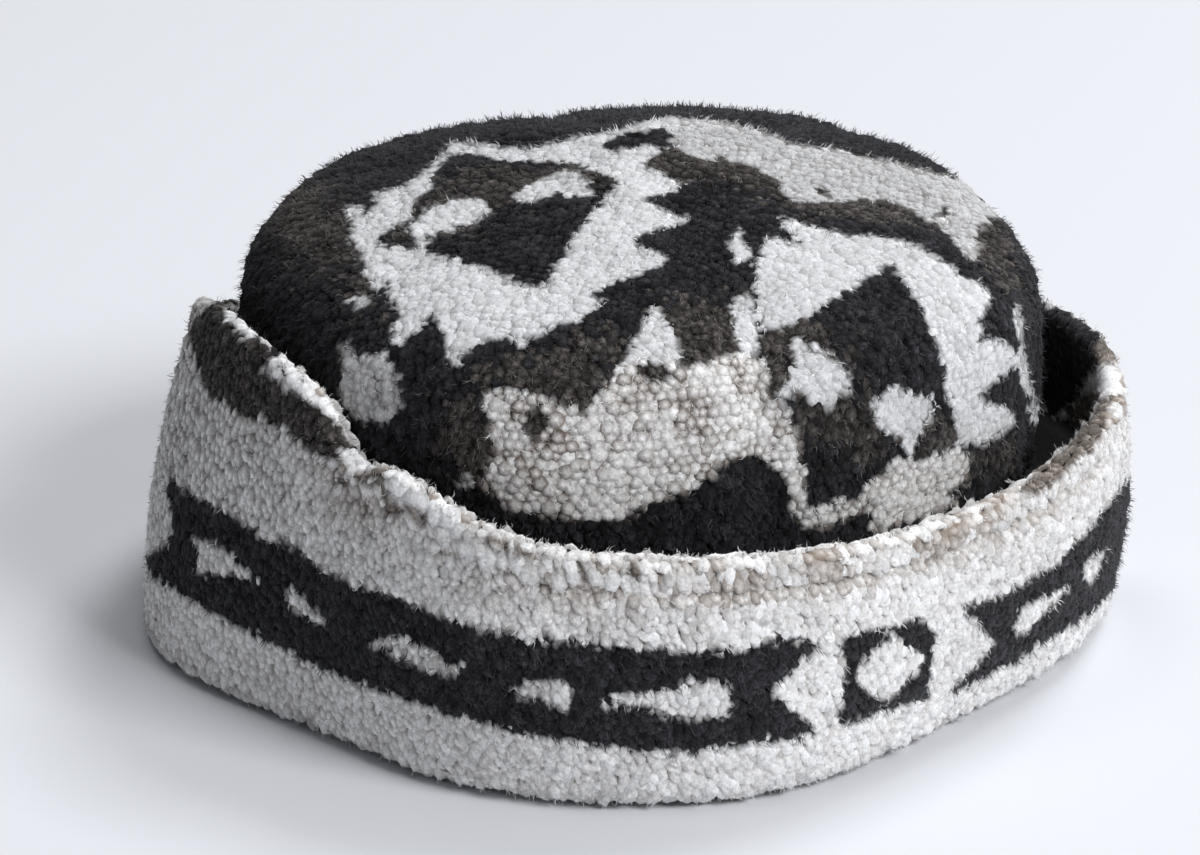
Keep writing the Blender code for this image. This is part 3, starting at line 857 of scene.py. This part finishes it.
def fibre_mesh(nub, owner, kind):
    """Roots, corners, shades and normals of the fibres: a strip of two triangles and a tip each."""
    count = len(nub["wide"])
    total = len(owner)
    own = pick(nub, owner)
    turn = rng.normal(0.0, 1.0, total) * TURN_SPREAD[kind]
    start = rng.uniform(0.02, 0.72, total) ** 0.8
    stand = rng.uniform(0.0, 1.0, total) < STANDING[kind]
    length = FIBRE_LENGTH[kind] * rng.uniform(0.65, 1.3, total)
    span = length / (own["wide"] * math.pi / 2.0)
    swirl = rng.choice((-1.0, 1.0), count)[owner] * rng.uniform(0.2, 0.9, total)
    lift_middle = rng.uniform(0.12, 0.32, total) * MM
    lift_end = rng.uniform(0.0, 0.35, total) * MM
    # most fibres hug their dome
    nothing = np.zeros(total)
    root = dome_point(own, turn, start, nothing)
    hug_middle = dome_point(own, turn + swirl * 0.5, np.minimum(start + span * 0.5, 1.1), lift_middle)
    hug_tip = dome_point(own, turn + swirl, np.minimum(start + span, 1.25), lift_end)
    centre = dome_point(own, nothing, nothing, nothing)
    # the others stand off it, alone or drawn together to a lock
    outward = unit(root - centre + own["normal"] * (0.45 * own["wide"])[:, None])
    flow = own["along"] * own["flow_x"][:, None] + own["down"] * own["flow_y"][:, None]
    lock = flow * own["lock"][:, None] + own["normal"] * 0.55
    clump = CLUMP[kind][:, None]
    stray = rng.normal(0.0, 0.28, (total, 3))
    rise_middle = root + (outward * 0.6 + own["normal"] * 0.25 + stray * 0.3) * (0.5 * length)[:, None]
    loose_tip = root + (outward * 0.8 + lock * 0.35 + stray) * length[:, None] * 0.8
    joint_tip = centre + (lock + stray * 0.45) * (length * 0.62)[:, None]
    rise_tip = joint_tip * clump + loose_tip * (1.0 - clump)
    rise_middle = rise_middle * (1.0 - 0.5 * clump) + 0.5 * clump * 0.5 * (root + rise_tip)
    middle = np.where(stand[:, None], rise_middle, hug_middle)
    tip = np.where(stand[:, None], rise_tip, hug_tip)
    heading = tip - root
    side = unit(np.cross(heading, own["normal"] + stray * 0.5))
    half = side * (FIBRE_WIDTH[kind] * rng.uniform(0.75, 1.25, total) / 2.0)[:, None]
    points = np.stack((root - half, root + half, middle + half * 0.8, middle - half * 0.8, tip), 1)
    points[..., 2] = np.maximum(points[..., 2], FIBRE_FLOOR)
    tone = rng.uniform(-1.0, 1.0, total) * TONE_SPREAD[kind]
    shades = np.stack([shade + tone for shade in FIBRE_SHADES], 1)
    flat_normals = unit(np.cross(side, heading))
    normals = unit(points - (own["root"] - own["normal"] * HEART_DEPTH)[:, None])
    normals = 0.5 * normals + 0.6 * flat_normals[:, None] + 0.2 * own["normal"][:, None]
    return root, points, shades, normals


def fibre_flats(cell, cells, owner, amounts):
    """Where the corners of each fibre lie in the flat layout, in columns beside its dome."""
    total = len(owner)
    first = np.concatenate(((0,), np.cumsum(amounts)[:-1]))
    per = int(FIBRES.max())
    column = (np.arange(total) - first[owner] + 0.5) / per
    flat = []
    for shift, tall in ((-0.38, 0.04), (0.38, 0.04), (0.38, 0.6), (-0.38, 0.6), (0.0, 0.96)):
        across = 0.52 + 0.46 * (column + shift / per)
        flat.append(np.stack((across, np.full(total, tall)), -1))
    return cell[owner][:, None] + np.stack(flat, 1) / cells


def make_pile(name, nub, colour_at, material):
    """One piece of pile: a small dome for each nub and loose curved fibres on it."""
    style = nub["style"]
    count = len(style)
    amounts = FIBRES[style]
    owner = np.repeat(np.arange(count), amounts)
    cell, cells = nub_cells(count)
    dome_points, dome_shade, dome_faces = dome_mesh(nub)
    corners = dome_points.shape[1]
    root, fibre_points, fibre_shade, fibre_normals = fibre_mesh(nub, owner, style[owner])
    steps = len(FIBRE_SHADES)
    fibre_faces = np.array(((0, 1, 2), (0, 2, 3), (3, 2, 4)))[None]
    fibre_faces = fibre_faces + steps * np.arange(len(owner))[:, None, None]
    # colours from the chart where each corner and each fibre starts, with painted shade darker at the roots
    nubs = np.repeat(np.arange(count), corners)
    dome_number = colour_at(dome_points.reshape(-1, 3), nubs).reshape(count, corners)
    fibre_number = np.repeat(colour_at(root, owner)[:, None], steps, 1)

    def shaded(number, shade, owners, tips):
        low = ROOT_COLOURS[number] * nub["root_tint"][owners][:, None]
        high = tips[number] * nub["tint"][owners][:, None]
        return np.clip(low + (high - low) * np.maximum(shade, 0.0)[..., None], 0.0, 0.95)

    dome_colour = shaded(dome_number, dome_shade, np.arange(count), TIP_COLOURS)
    fibre_colour = shaded(fibre_number, fibre_shade, owner, FIBRE_COLOURS)
    grain = GRAIN[np.concatenate((dome_number.ravel(), fibre_number.ravel()))]
    dome_normals = unit(dome_points - (nub["root"] - nub["normal"] * HEART_DEPTH)[:, None])
    dome_normals = dome_normals + 0.55 * nub["normal"][:, None]
    faces = np.concatenate((dome_faces.reshape(-1, 3), fibre_faces.reshape(-1, 3) + count * corners))

    def both(dome_part, fibre_part, width):
        return np.concatenate((dome_part.reshape(-1, width), fibre_part.reshape(-1, width)))

    points = both(dome_points, fibre_points, 3)
    flat = both(dome_flats(cell, cells), fibre_flats(cell, cells, owner, amounts), 2)
    colour = both(dome_colour, fibre_colour, 3)
    normals = unit(both(dome_normals, fibre_normals, 3))
    return mesh_object(name, points, faces, flat[faces.reshape(-1)], colour, grain, normals, material)


def mesh_object(name, points, faces, flat, colour, grain, normals, material):
    """A mesh object from arrays, with its flat layout and the pile's colours."""
    mesh = bpy.data.meshes.new(name)
    corners = faces.shape[1]
    mesh.vertices.add(len(points))
    mesh.vertices.foreach_set("co", np.ascontiguousarray(points, np.float32).ravel())
    mesh.loops.add(faces.size)
    mesh.loops.foreach_set("vertex_index", faces.astype(np.int32).ravel())
    mesh.polygons.add(len(faces))
    mesh.polygons.foreach_set("loop_start", np.arange(len(faces), dtype=np.int32) * corners)
    mesh.update(calc_edges=True)
    layout = mesh.uv_layers.new(name="OFBake")
    layout.uv.foreach_set("vector", np.ascontiguousarray(flat, np.float32).ravel())
    tint = mesh.color_attributes.new("Pile", "FLOAT_COLOR", "POINT")
    full = np.concatenate((colour, np.ones((len(colour), 1))), 1)
    tint.data.foreach_set("color", full.astype(np.float32).ravel())
    rough = mesh.attributes.new("Grain", "FLOAT", "POINT")
    rough.data.foreach_set("value", grain.astype(np.float32))
    mesh.polygons.foreach_set("use_smooth", np.ones(len(faces), bool))
    if normals is not None:
        mesh.normals_split_custom_set_from_vertices(normals.astype(np.float32))
    mesh.materials.append(material)
    piece = bpy.data.objects.new(name, mesh)
    bpy.context.scene.collection.objects.link(piece)
    return piece


def waves(points):
    """Slow unevenness of the cloth, from about minus one to one."""
    x, y, z = (points / MM).T
    broad = np.sin(x / 6.1 + 1.3 * np.sin(y / 8.3 + 0.7)) * np.sin(y / 5.3 + 1.1 * np.sin(z / 7.1))
    fine = np.sin(z / 4.3 + 1.2 * np.sin(x / 5.7 + 2.0)) * np.sin((x + y) / 4.9 + 0.4)
    return 0.6 * broad + 0.5 * fine


def patches(points):
    """Where brown shows between the pale nubs, from about minus one to one."""
    x, y, z = (points / MM).T
    first = np.sin(x / 3.7 + 2.1 * np.sin(z / 6.3 + 0.9)) * np.sin(z / 4.1 + 1.7 * np.sin(x / 7.9))
    second = np.sin((x + z) / 9.7 + 1.1) * np.sin((y - x) / 8.3 + 2.3)
    return 0.6 * first + 0.6 * second


def nub_table(root, along, down, normal, style, flow, spacing, tint, size, point):
    """Everything that the pile needs to know of each nub."""
    count = len(root)
    big = rng.uniform(0.80, 1.18, count) * spacing * size
    # the tint holds brown flecks and painted shade
    brown_and_shade = 1.0 - tint.mean(1)
    tip_brown_and_shade = 1.0 - TIP_BROWN_AND_SHADE + TIP_BROWN_AND_SHADE * tint
    turn = flow + rng.normal(0.0, FLOW_STRAY, count)
    turn = np.where(style == 0, rng.uniform(0.0, 2.0 * math.pi, count), turn)
    return {
        "root": root + normal * (WAVE_HEIGHT * waves(root))[:, None],
        "along": along,
        "down": down,
        "normal": normal,
        "style": style,
        "wide": NUB_WIDE[style] * big,
        "long": NUB_LONG[style] * rng.uniform(0.9, 1.2, count),
        "high": NUB_HIGH[style] * big * rng.uniform(0.85, 1.2, count),
        "lean": NUB_LEAN[style] * big * rng.uniform(0.4, 1.3, count),
        "flow_x": np.cos(turn),
        "flow_y": np.sin(turn),
        "lock": rng.uniform(0.5, 1.3, count),
        "spin": rng.uniform(0.0, 1.0, count),
        "point": point,
        "crack": CRACK_SHADE[style] * rng.uniform(0.5, 1.5, count) * np.clip(1.0 - 1.1 * brown_and_shade, 0.1, 1.0),
        "tint": (rng.normal(0.0, 1.0, count) * NUB_TONES[style] + 1.0)[:, None] * tip_brown_and_shade,
        "root_tint": tint,
    }


def near_or_wide(near, wide):
    """The edge between the two dark colours strays farther than the others."""
    return np.where((near < WHITE) & (wide < WHITE), wide, near)


def crown_pile(name, start, end, material):
    """The pile on one panel of the crown."""
    def place(azimuth, station):
        sunk = seam_dip(azimuth, station, start, end)
        return crown_point(azimuth, station, PILE_SEAT + sunk)

    azimuth, station = spread_rows(place, start, end, CROWN_PILE_TOP, CROWN_PILE_FOOT, CROWN_SPACING)
    root = place(azimuth, station)
    along, down, normal = surface_frame(place, azimuth, station)
    stray = rng.normal(0.0, CHART_STRAY, (2, len(root)))
    wander = along * stray[0][:, None] + down * stray[1][:, None]
    colour = crown_colour(root + normal * PILE_SEAT, normal, azimuth, station)
    flow = np.full(len(root), CROWN_FLOW)
    patch = np.clip(1.2 * patches(root) + rng.normal(0.0, 0.35, len(root)), 0.0, 1.0)
    patch = np.where(colour == MOTTLED, patch, 0.0)[:, None]
    tint = 1.0 - (1.0 - FLECK_TINT) * patch
    size = np.ones(len(root))
    point = np.where(CROWN_STYLE[colour] == 1, LOCK_POINT, 0.0)
    nub = nub_table(root, along, down, normal, CROWN_STYLE[colour], flow, CROWN_SPACING, tint, size, point)

    def colour_at(points, owner):
        turned = (normal[owner], azimuth[owner], station[owner])
        near = crown_colour(points + wander[owner], *turned)
        wide = crown_colour(points + DARK_STRAY * wander[owner], *turned)
        return near_or_wide(near, wide)

    return make_pile(name, nub, colour_at, material)


def band_line(azimuth, share):
    """Point of the band's seen side: share 0 at the foot, 1 low on the flap's inner face."""
    radius, height = band_profile(azimuth, share)
    return band_point(azimuth, radius, height)


def hem_strength(azimuth):
    """How plain the sewn crease under the band's free edge is: most at the front."""
    turned = turned_degrees(azimuth)
    return 0.25 + 0.75 * np.exp(-((turned - 14.0) / 36.0) ** 4)


def band_profile(azimuth, share):
    """Radius and height of the pile's roots: corner, face, fold over the edge, inner face."""
    foot, _, top = band_at(azimuth)
    half = BAND_WALL / 2.0 - PILE_SEAT
    straight = top - BAND_WALL / 2.0
    corner = BAND_CORNER * 0.5 * math.pi
    rise = straight - BAND_CORNER
    fold = half * math.pi
    turned = turned_degrees(azimuth)
    ears = np.exp(-((turned - 92.0) / 34.0) ** 2) + np.exp(-((turned + 100.0) / 30.0) ** 2)
    lining = LINING_LEAST + LINING_AT_EARS * ears
    total = corner + rise + fold + lining
    run = share * total
    turn = np.clip(run / BAND_CORNER, 0.0, 0.5 * math.pi)
    low_radius = foot - BAND_CORNER + (BAND_CORNER - PILE_SEAT) * np.sin(turn)
    low_height = BAND_CORNER - (BAND_CORNER - PILE_SEAT) * np.cos(turn)
    height = BAND_CORNER + np.clip(run - corner, 0.0, rise)
    face = band_face_radius(azimuth, height / top)
    groove = np.exp(-((top - height - HEM_BELOW) / (1.3 * MM)) ** 2)
    face_radius = face - PILE_SEAT - HEM_DEPTH * hem_strength(azimuth) * groove
    bend = np.clip((run - corner - rise) / np.maximum(fold, 1e-6), 0.0, 1.0) * math.pi
    top_radius = band_face_radius(azimuth, straight / top) - BAND_WALL / 2.0
    fold_radius = top_radius + half * np.cos(bend)
    fold_height = straight + half * np.sin(bend)
    drop = np.clip(run - corner - rise - fold, 0.0, lining)
    inner_height = straight - drop
    inner_radius = band_face_radius(azimuth, inner_height / top) - BAND_WALL + PILE_SEAT
    radius = np.where(run < corner, low_radius, face_radius)
    level = np.where(run < corner, low_height, height)
    radius = np.where(run > corner + rise, fold_radius, radius)
    level = np.where(run > corner + rise, fold_height, level)
    radius = np.where(run > corner + rise + fold, inner_radius, radius)
    level = np.where(run > corner + rise + fold, inner_height, level)
    return radius, level


def band_pile(name, start, end, material):
    """The pile on one stretch of the band, over its free edge and down inside."""
    azimuth, share = spread_rows(band_line, start, end, 1.0, 0.03, BAND_SPACING)
    root = band_line(azimuth, share)
    along, down, normal = surface_frame(band_line, azimuth, share)
    normal = -normal
    down = -down
    marker = root + normal * PILE_SEAT
    stray = rng.normal(0.0, CHART_STRAY, (2, len(root)))
    wander = along * stray[0][:, None] + down * stray[1][:, None]
    radial = np.stack((np.sin(azimuth), -np.cos(azimuth)), -1)
    inward = np.sum(normal[:, :2] * radial, -1) < -0.3
    colour = band_colour(marker, normal, azimuth, marker[:, 2], inward)
    flow = np.full(len(root), BAND_FLOW)
    below = (band_at(azimuth)[2] - marker[:, 2]) / MM
    tint = np.ones((len(root), 3))
    # painted shade in the hem's crease, strongest at the front
    crease = HEM_SHADE * hem_strength(azimuth) * np.exp(-((below - HEM_BELOW / MM) / 1.0) ** 2)
    crease = np.where(inward, 0.0, crease)
    tint = tint - (1.0 - np.array(HEM_SHADE_COLOUR)) * crease[:, None]
    turned = turned_degrees(azimuth)
    pale = (colour == CREAM) | (colour == BRIGHT)
    ragged = np.exp(-((turned - RAGGED_AT) / RAGGED_HALF) ** 4)
    even = 1.0 / (1.0 + np.exp(-(turned - EVEN_FROM) / 6.0))
    even = np.where(turned > EVEN_TO, 0.0, even)
    tuft = pale & ~inward & (below < 3.0 + 4.0 * ragged)
    tuft = tuft & (rng.uniform(0.0, 1.0, len(root)) < 0.04 + 0.42 * ragged)
    size = np.where(tuft, rng.uniform(*TUFT_SIZES, len(root)), 1.0)
    size = np.where(below < 1.2, np.minimum(size, RIM_SIZE), size)
    flecks = rng.normal(0.1 + 0.55 * ragged - 0.35 * even, 0.6, len(root))
    patch = np.clip(1.5 * patches(root) + flecks, 0.0, 1.0)
    patch = np.where((colour == CREAM) & ~inward & ~tuft, patch * np.exp(-(below / 11.0) ** 2), 0.0)
    tint = tint * (1.0 - (1.0 - FLECK_TINT) * 0.95 * patch[:, None])
    tint = tint * np.where(tuft, TUFT_SHINE, 1.0)[:, None]
    # painted shade on the upper pile at the left ear
    upper = np.clip((marker[:, 2] / MM - LEFT_EAR_SHADE_FROM) / LEFT_EAR_SHADE_RISE, 0.0, 1.0)
    left_ear_shade = 1.0 - LEFT_EAR_SHADE * upper / (1.0 + np.exp((turned - LEFT_EAR_SHADE_AT) / 9.0))
    tint = tint * left_ear_shade[:, None]
    point = np.where(BAND_STYLE[colour] == 1, LOCK_POINT, 0.0)
    nub = nub_table(root, along, down, normal, BAND_STYLE[colour], flow, BAND_SPACING, tint, size, point)
    nub["tint"] = nub["tint"] * (1.0 - (1.0 - FLECK_TINT) * 0.45 * patch[:, None])
    # painted light near the foot: paler tips and roots
    foot = np.clip(1.0 - marker[:, 2] / FOOT_LIGHT_REACH, 0.0, 1.0)
    nub["tint"] = nub["tint"] * (1.0 + FOOT_LIGHT * foot)[:, None]
    nub["root_tint"] = nub["root_tint"] * (1.0 + 2.0 * FOOT_LIGHT * foot + EVEN_LIFT * even)[:, None]
    # right of the front: paler painted shade at the roots (above) and in the cracks, and lower nubs
    nub["crack"] = nub["crack"] * (1.0 + EVEN_LIFT * even)
    nub["high"] = nub["high"] * (1.0 - EVEN_FLAT * even)

    def colour_at(points, owner):
        both = []
        for share in (1.0, DARK_STRAY):
            spots = points + share * wander[owner]
            around = np.arctan2(spots[:, 0] + CENTRE[0], -spots[:, 1] - CENTRE[1])
            both.append(band_colour(spots, normal[owner], around, spots[:, 2], inward[owner]))
        return near_or_wide(*both)

    return make_pile(name, nub, colour_at, material)


def joined_grid(name, outer, inner, material, knit):
    """A closed wall from two grids of points, outer and inner."""
    rows, columns = outer.shape[:2]
    points = np.concatenate((outer.reshape(-1, 3), inner.reshape(-1, 3)))
    index = np.arange(rows * columns).reshape(rows, columns)
    behind = index + rows * columns
    u = np.linspace(0.0, 1.0, columns)
    v = np.linspace(0.0, 1.0, rows)
    faces = []
    flats = []

    def add(grid, low, high, tall):
        a, b, c, d = grid[:-1, :-1], grid[:-1, 1:], grid[1:, 1:], grid[1:, :-1]
        faces.append(np.stack((a, b, c, d), -1).reshape(-1, 4))
        wide = np.linspace(low, high, grid.shape[1])
        x, y = np.meshgrid(wide, tall)
        spots = np.stack((x, y), -1)
        corner = (spots[:-1, :-1], spots[:-1, 1:], spots[1:, 1:], spots[1:, :-1])
        flats.append(np.stack(corner, -2).reshape(-1, 4, 2))

    add(index, 0.0, 0.47, v)
    add(behind[:, ::-1], 0.53, 1.0, v)
    add(np.stack((index[:, -1], behind[:, -1]), 1), 0.475, 0.482, v)
    add(np.stack((behind[:, 0], index[:, 0]), 1), 0.487, 0.494, v)
    add(np.stack((behind[0], index[0]), 1), 0.499, 0.506, u)
    add(np.stack((index[-1], behind[-1]), 1), 0.511, 0.518, u)
    colour = np.concatenate((knit[0].reshape(-1, 3), knit[1].reshape(-1, 3)))
    faces = np.concatenate(faces)
    flats = np.concatenate(flats).reshape(-1, 2)
    grain = np.full(len(points), SKIN_GRAIN)
    return mesh_object(name, points, faces, flats, colour, grain, None, material)


def crown_skin(name, start, end, material):
    """One panel of the crown as a closed skin, its face set back by the pile's height."""
    rows, columns = 44, 26
    station = TIP_STATION + (1.0 - TIP_STATION) * np.linspace(0.0, 1.0, rows)
    share = np.linspace(0.0, 1.0, columns)
    share = 0.55 * share + 0.45 * (0.5 - 0.5 * np.cos(math.pi * share))
    station, share = np.meshgrid(station, share, indexing="ij")
    middle = start + (end - start) * share
    radius = np.maximum(crown_radius(middle, station), 0.2 * MM)
    azimuth = middle + np.clip(SEAM_GAP * (0.5 - share) / radius, -0.8, 0.8)
    sunk = seam_dip(middle, station, start, end)
    outer = crown_point(azimuth, station, PILE_SEAT + sunk)
    inner = crown_point(azimuth, station, CROWN_WALL)
    along, down, normal = surface_frame(lambda a, s: crown_point(a, s, 0.0), azimuth, station)
    colour = crown_colour(outer.reshape(-1, 3), normal.reshape(-1, 3), azimuth.ravel(), station.ravel())
    # the skin under the pile, in painted shade
    face = ROOT_COLOURS[colour] * SKIN_SHADE
    back = np.full((rows * columns, 3), KNIT_COLOUR)
    return joined_grid(name, outer, inner, material, (face, back))


def band_skin(name, material):
    """The folded band as one closed skin, its seen faces set back by the pile's height."""
    around = 180
    azimuth = 2.0 * math.pi * np.arange(around) / around
    outline = band_section(azimuth)
    rows = len(outline)
    ahead = unit(np.roll(outline, -1, 0) - np.roll(outline, 1, 0))
    outward = np.stack((ahead[..., 1], -ahead[..., 0]), -1)
    depth = np.zeros(rows)
    depth[3:BAND_SKIN_LAST] = PILE_SEAT
    depth[2] = 0.4 * PILE_SEAT
    depth[BAND_SKIN_LAST] = 0.5 * PILE_SEAT
    outline = outline - outward * depth[:, None, None]
    radius, height = outline[..., 0], np.maximum(outline[..., 1], 0.0)
    points = band_point(np.broadcast_to(azimuth, radius.shape), radius, height)
    index = np.arange(rows * around).reshape(rows, around)
    index = np.concatenate((index, index[:1]), 0)
    index = np.concatenate((index, index[:, :1]), 1)
    faces = np.stack((index[:-1, :-1], index[1:, :-1], index[1:, 1:], index[:-1, 1:]), -1)
    u, v = np.meshgrid(np.linspace(0.0, 1.0, around + 1), np.linspace(0.0, 1.0, rows + 1))
    spots = np.stack((u, v), -1)
    flat = np.stack((spots[:-1, :-1], spots[1:, :-1], spots[1:, 1:], spots[:-1, 1:]), -2)
    radial = np.stack((np.sin(azimuth), -np.cos(azimuth), np.zeros(around)), -1)
    normals = np.broadcast_to(radial, points.shape).reshape(-1, 3)
    wide = np.broadcast_to(azimuth, radius.shape).ravel()
    seen = np.zeros((rows, around), bool)
    seen[3:BAND_SKIN_LAST + 1] = True
    charts = band_colour(points.reshape(-1, 3), normals, wide, height.ravel(), np.zeros(len(wide), bool))
    colour = np.where(seen.ravel(), charts, CREAM)
    # the skin under the pile, in painted shade
    face = ROOT_COLOURS[colour] * SKIN_SHADE
    face = np.where(seen.ravel()[:, None], face, KNIT_COLOUR)
    grain = np.full(len(face), SKIN_GRAIN)
    return mesh_object(name, points.reshape(-1, 3), faces.reshape(-1, 4), flat.reshape(-1, 2),
                       face, grain, None, material)


def fill_inputs(node, values):
    for key, value in values.items():
        node.inputs[key].default_value = value
    return node


def fleece_material(name, sheen, rough):
    """Fleece: the pile's colour with its painted shade, finely uneven, with a soft sheen and a curly grain.
    """
    material = bpy.data.materials.new(name)
    material.use_nodes = True
    material.cycles.use_transparent_shadow = False
    tree = material.node_tree
    shader = tree.nodes["Principled BSDF"]
    shader.subsurface_method = "BURLEY"
    fill_inputs(shader, {
        "Roughness": rough,
        "Specular IOR Level": 0.12,
        "Subsurface Weight": 0.35,
        "Subsurface Radius": (1.0, 1.0, 1.0),
        "Subsurface Scale": 0.8 * MM,
        "Sheen Weight": sheen,
        "Sheen Roughness": 0.5,
    })

    def add(kind, values):
        return fill_inputs(tree.nodes.new("ShaderNode" + kind), values)

    def join(source, output, target, socket):
        tree.links.new(source.outputs[output], target.inputs[socket])

    pile = add("Attribute", {})
    pile.attribute_name = "Pile"
    grain = add("Attribute", {})
    grain.attribute_name = "Grain"
    place = add("TexCoord", {})
    fine = add("TexNoise", {"Scale": 1400.0, "Detail": 3.0, "Roughness": 0.6})
    broad = add("TexNoise", {"Scale": 60.0, "Detail": 2.0})
    spread = add("MapRange", {"From Min": 0.35, "From Max": 0.65, "To Min": -1.0, "To Max": 1.0})
    spread.clamp = False
    soft = add("MapRange", {"From Min": 0.3, "From Max": 0.7, "To Min": 0.93, "To Max": 1.05})
    amount = add("Math", {2: 1.0})
    amount.operation = "MULTIPLY_ADD"
    both = add("Math", {})
    both.operation = "MULTIPLY"
    tinted = add("VectorMath", {})
    tinted.operation = "SCALE"
    bump = add("Bump", {"Strength": 0.7, "Distance": 0.35 * MM})
    join(place, "Object", fine, "Vector")
    join(place, "Object", broad, "Vector")
    join(fine, "Fac", spread, "Value")
    join(broad, "Fac", soft, "Value")
    join(spread, "Result", amount, 0)
    join(grain, "Fac", amount, 1)
    join(amount, "Value", both, 0)
    join(soft, "Result", both, 1)
    join(pile, "Color", tinted, 0)
    join(both, "Value", tinted, "Scale")
    join(tinted, "Vector", shader, "Base Color")
    join(fine, "Fac", bump, "Height")
    join(bump, "Normal", shader, "Normal")
    return material


def floor_material():
    material = bpy.data.materials.new("studio_floor")
    material.use_nodes = True
    shader = material.node_tree.nodes["Principled BSDF"]
    fill_inputs(shader, {"Base Color": (0.78, 0.79, 0.82, 1.0), "Roughness": 0.9, "Specular IOR Level": 0.1})
    return material


def aim(thing, target):
    direction = Vector(target) - thing.location
    thing.rotation_mode = "QUATERNION"
    thing.rotation_quaternion = direction.to_track_quat("-Z", "Y")


def add_light(name, place, size, watts):
    data = bpy.data.lights.new(name, "AREA")
    data.shape = "RECTANGLE"
    data.size, data.size_y = size
    data.energy = watts
    data.color = LAMP_COLOUR
    light = bpy.data.objects.new(name, data)
    light.location = place
    bpy.context.scene.collection.objects.link(light)
    aim(light, LAMP_AIM)


def add_camera():
    back, right, up = camera_axes()
    data = bpy.data.cameras.new("photo_camera")
    data.sensor_width = 36.0
    data.lens = 18.0 / math.tan(CAMERA_ACROSS / 2.0)
    data.shift_x = -PHOTO_SLIDE / PHOTO_WIDE
    data.clip_start = 0.05
    data.clip_end = 20.0
    camera = bpy.data.objects.new("photo_camera", data)
    camera.location = camera_place()
    camera.rotation_mode = "QUATERNION"
    camera.rotation_quaternion = Vector(-back).to_track_quat("-Z", "Y")
    bpy.context.scene.collection.objects.link(camera)
    bpy.context.scene.camera = camera


def add_floor():
    mesh = bpy.data.meshes.new("floor")
    far = FLOOR_REACH
    corners = [(-far, -far, 0.0), (far, -far, 0.0), (far, far, 0.0), (-far, far, 0.0)]
    mesh.from_pydata(corners, [], [(0, 1, 2, 3)])
    mesh.materials.append(floor_material())
    floor = bpy.data.objects.new("floor", mesh)
    bpy.context.scene.collection.objects.link(floor)


def build_cap():
    """Skins and piles of all pieces, each in place of its solid or beside it."""
    crown_fleece = fleece_material("crown_fleece", 0.05, 0.95)
    band_fleece = fleece_material("band_fleece", 0.08, 0.95)
    count = len(CROWN_SEAMS)
    for number, (name, start_deg) in enumerate(CROWN_SEAMS):
        end_deg = CROWN_SEAMS[(number + 1) % count][1]
        if end_deg < start_deg:
            end_deg += 360.0
        start, end = math.radians(start_deg), math.radians(end_deg)
        skin = crown_skin(name + "_skin", start, end, crown_fleece)
        pile = crown_pile(name + "_pile", start, end, crown_fleece)
        for piece in (skin, pile):
            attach(piece, "root")
        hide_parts(name)
    skin = band_skin("earflap_band_skin", band_fleece)
    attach(skin, "root")
    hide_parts("earflap_band")
    for name, start_deg, end_deg in BAND_PILES:
        pile = band_pile(name, math.radians(start_deg), math.radians(end_deg), band_fleece)
        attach(pile, "root")


rng = np.random.default_rng(SEED)
build_cap()
add_floor()
add_camera()
for lamp in LAMPS:
    add_light(*lamp)
world = bpy.data.worlds.new("studio")
world.use_nodes = True
fill_inputs(world.node_tree.nodes["Background"], {"Color": WORLD_COLOUR, "Strength": WORLD_STRENGTH})
bpy.context.scene.world = world
bpy.context.scene.view_settings.view_transform = "Standard"
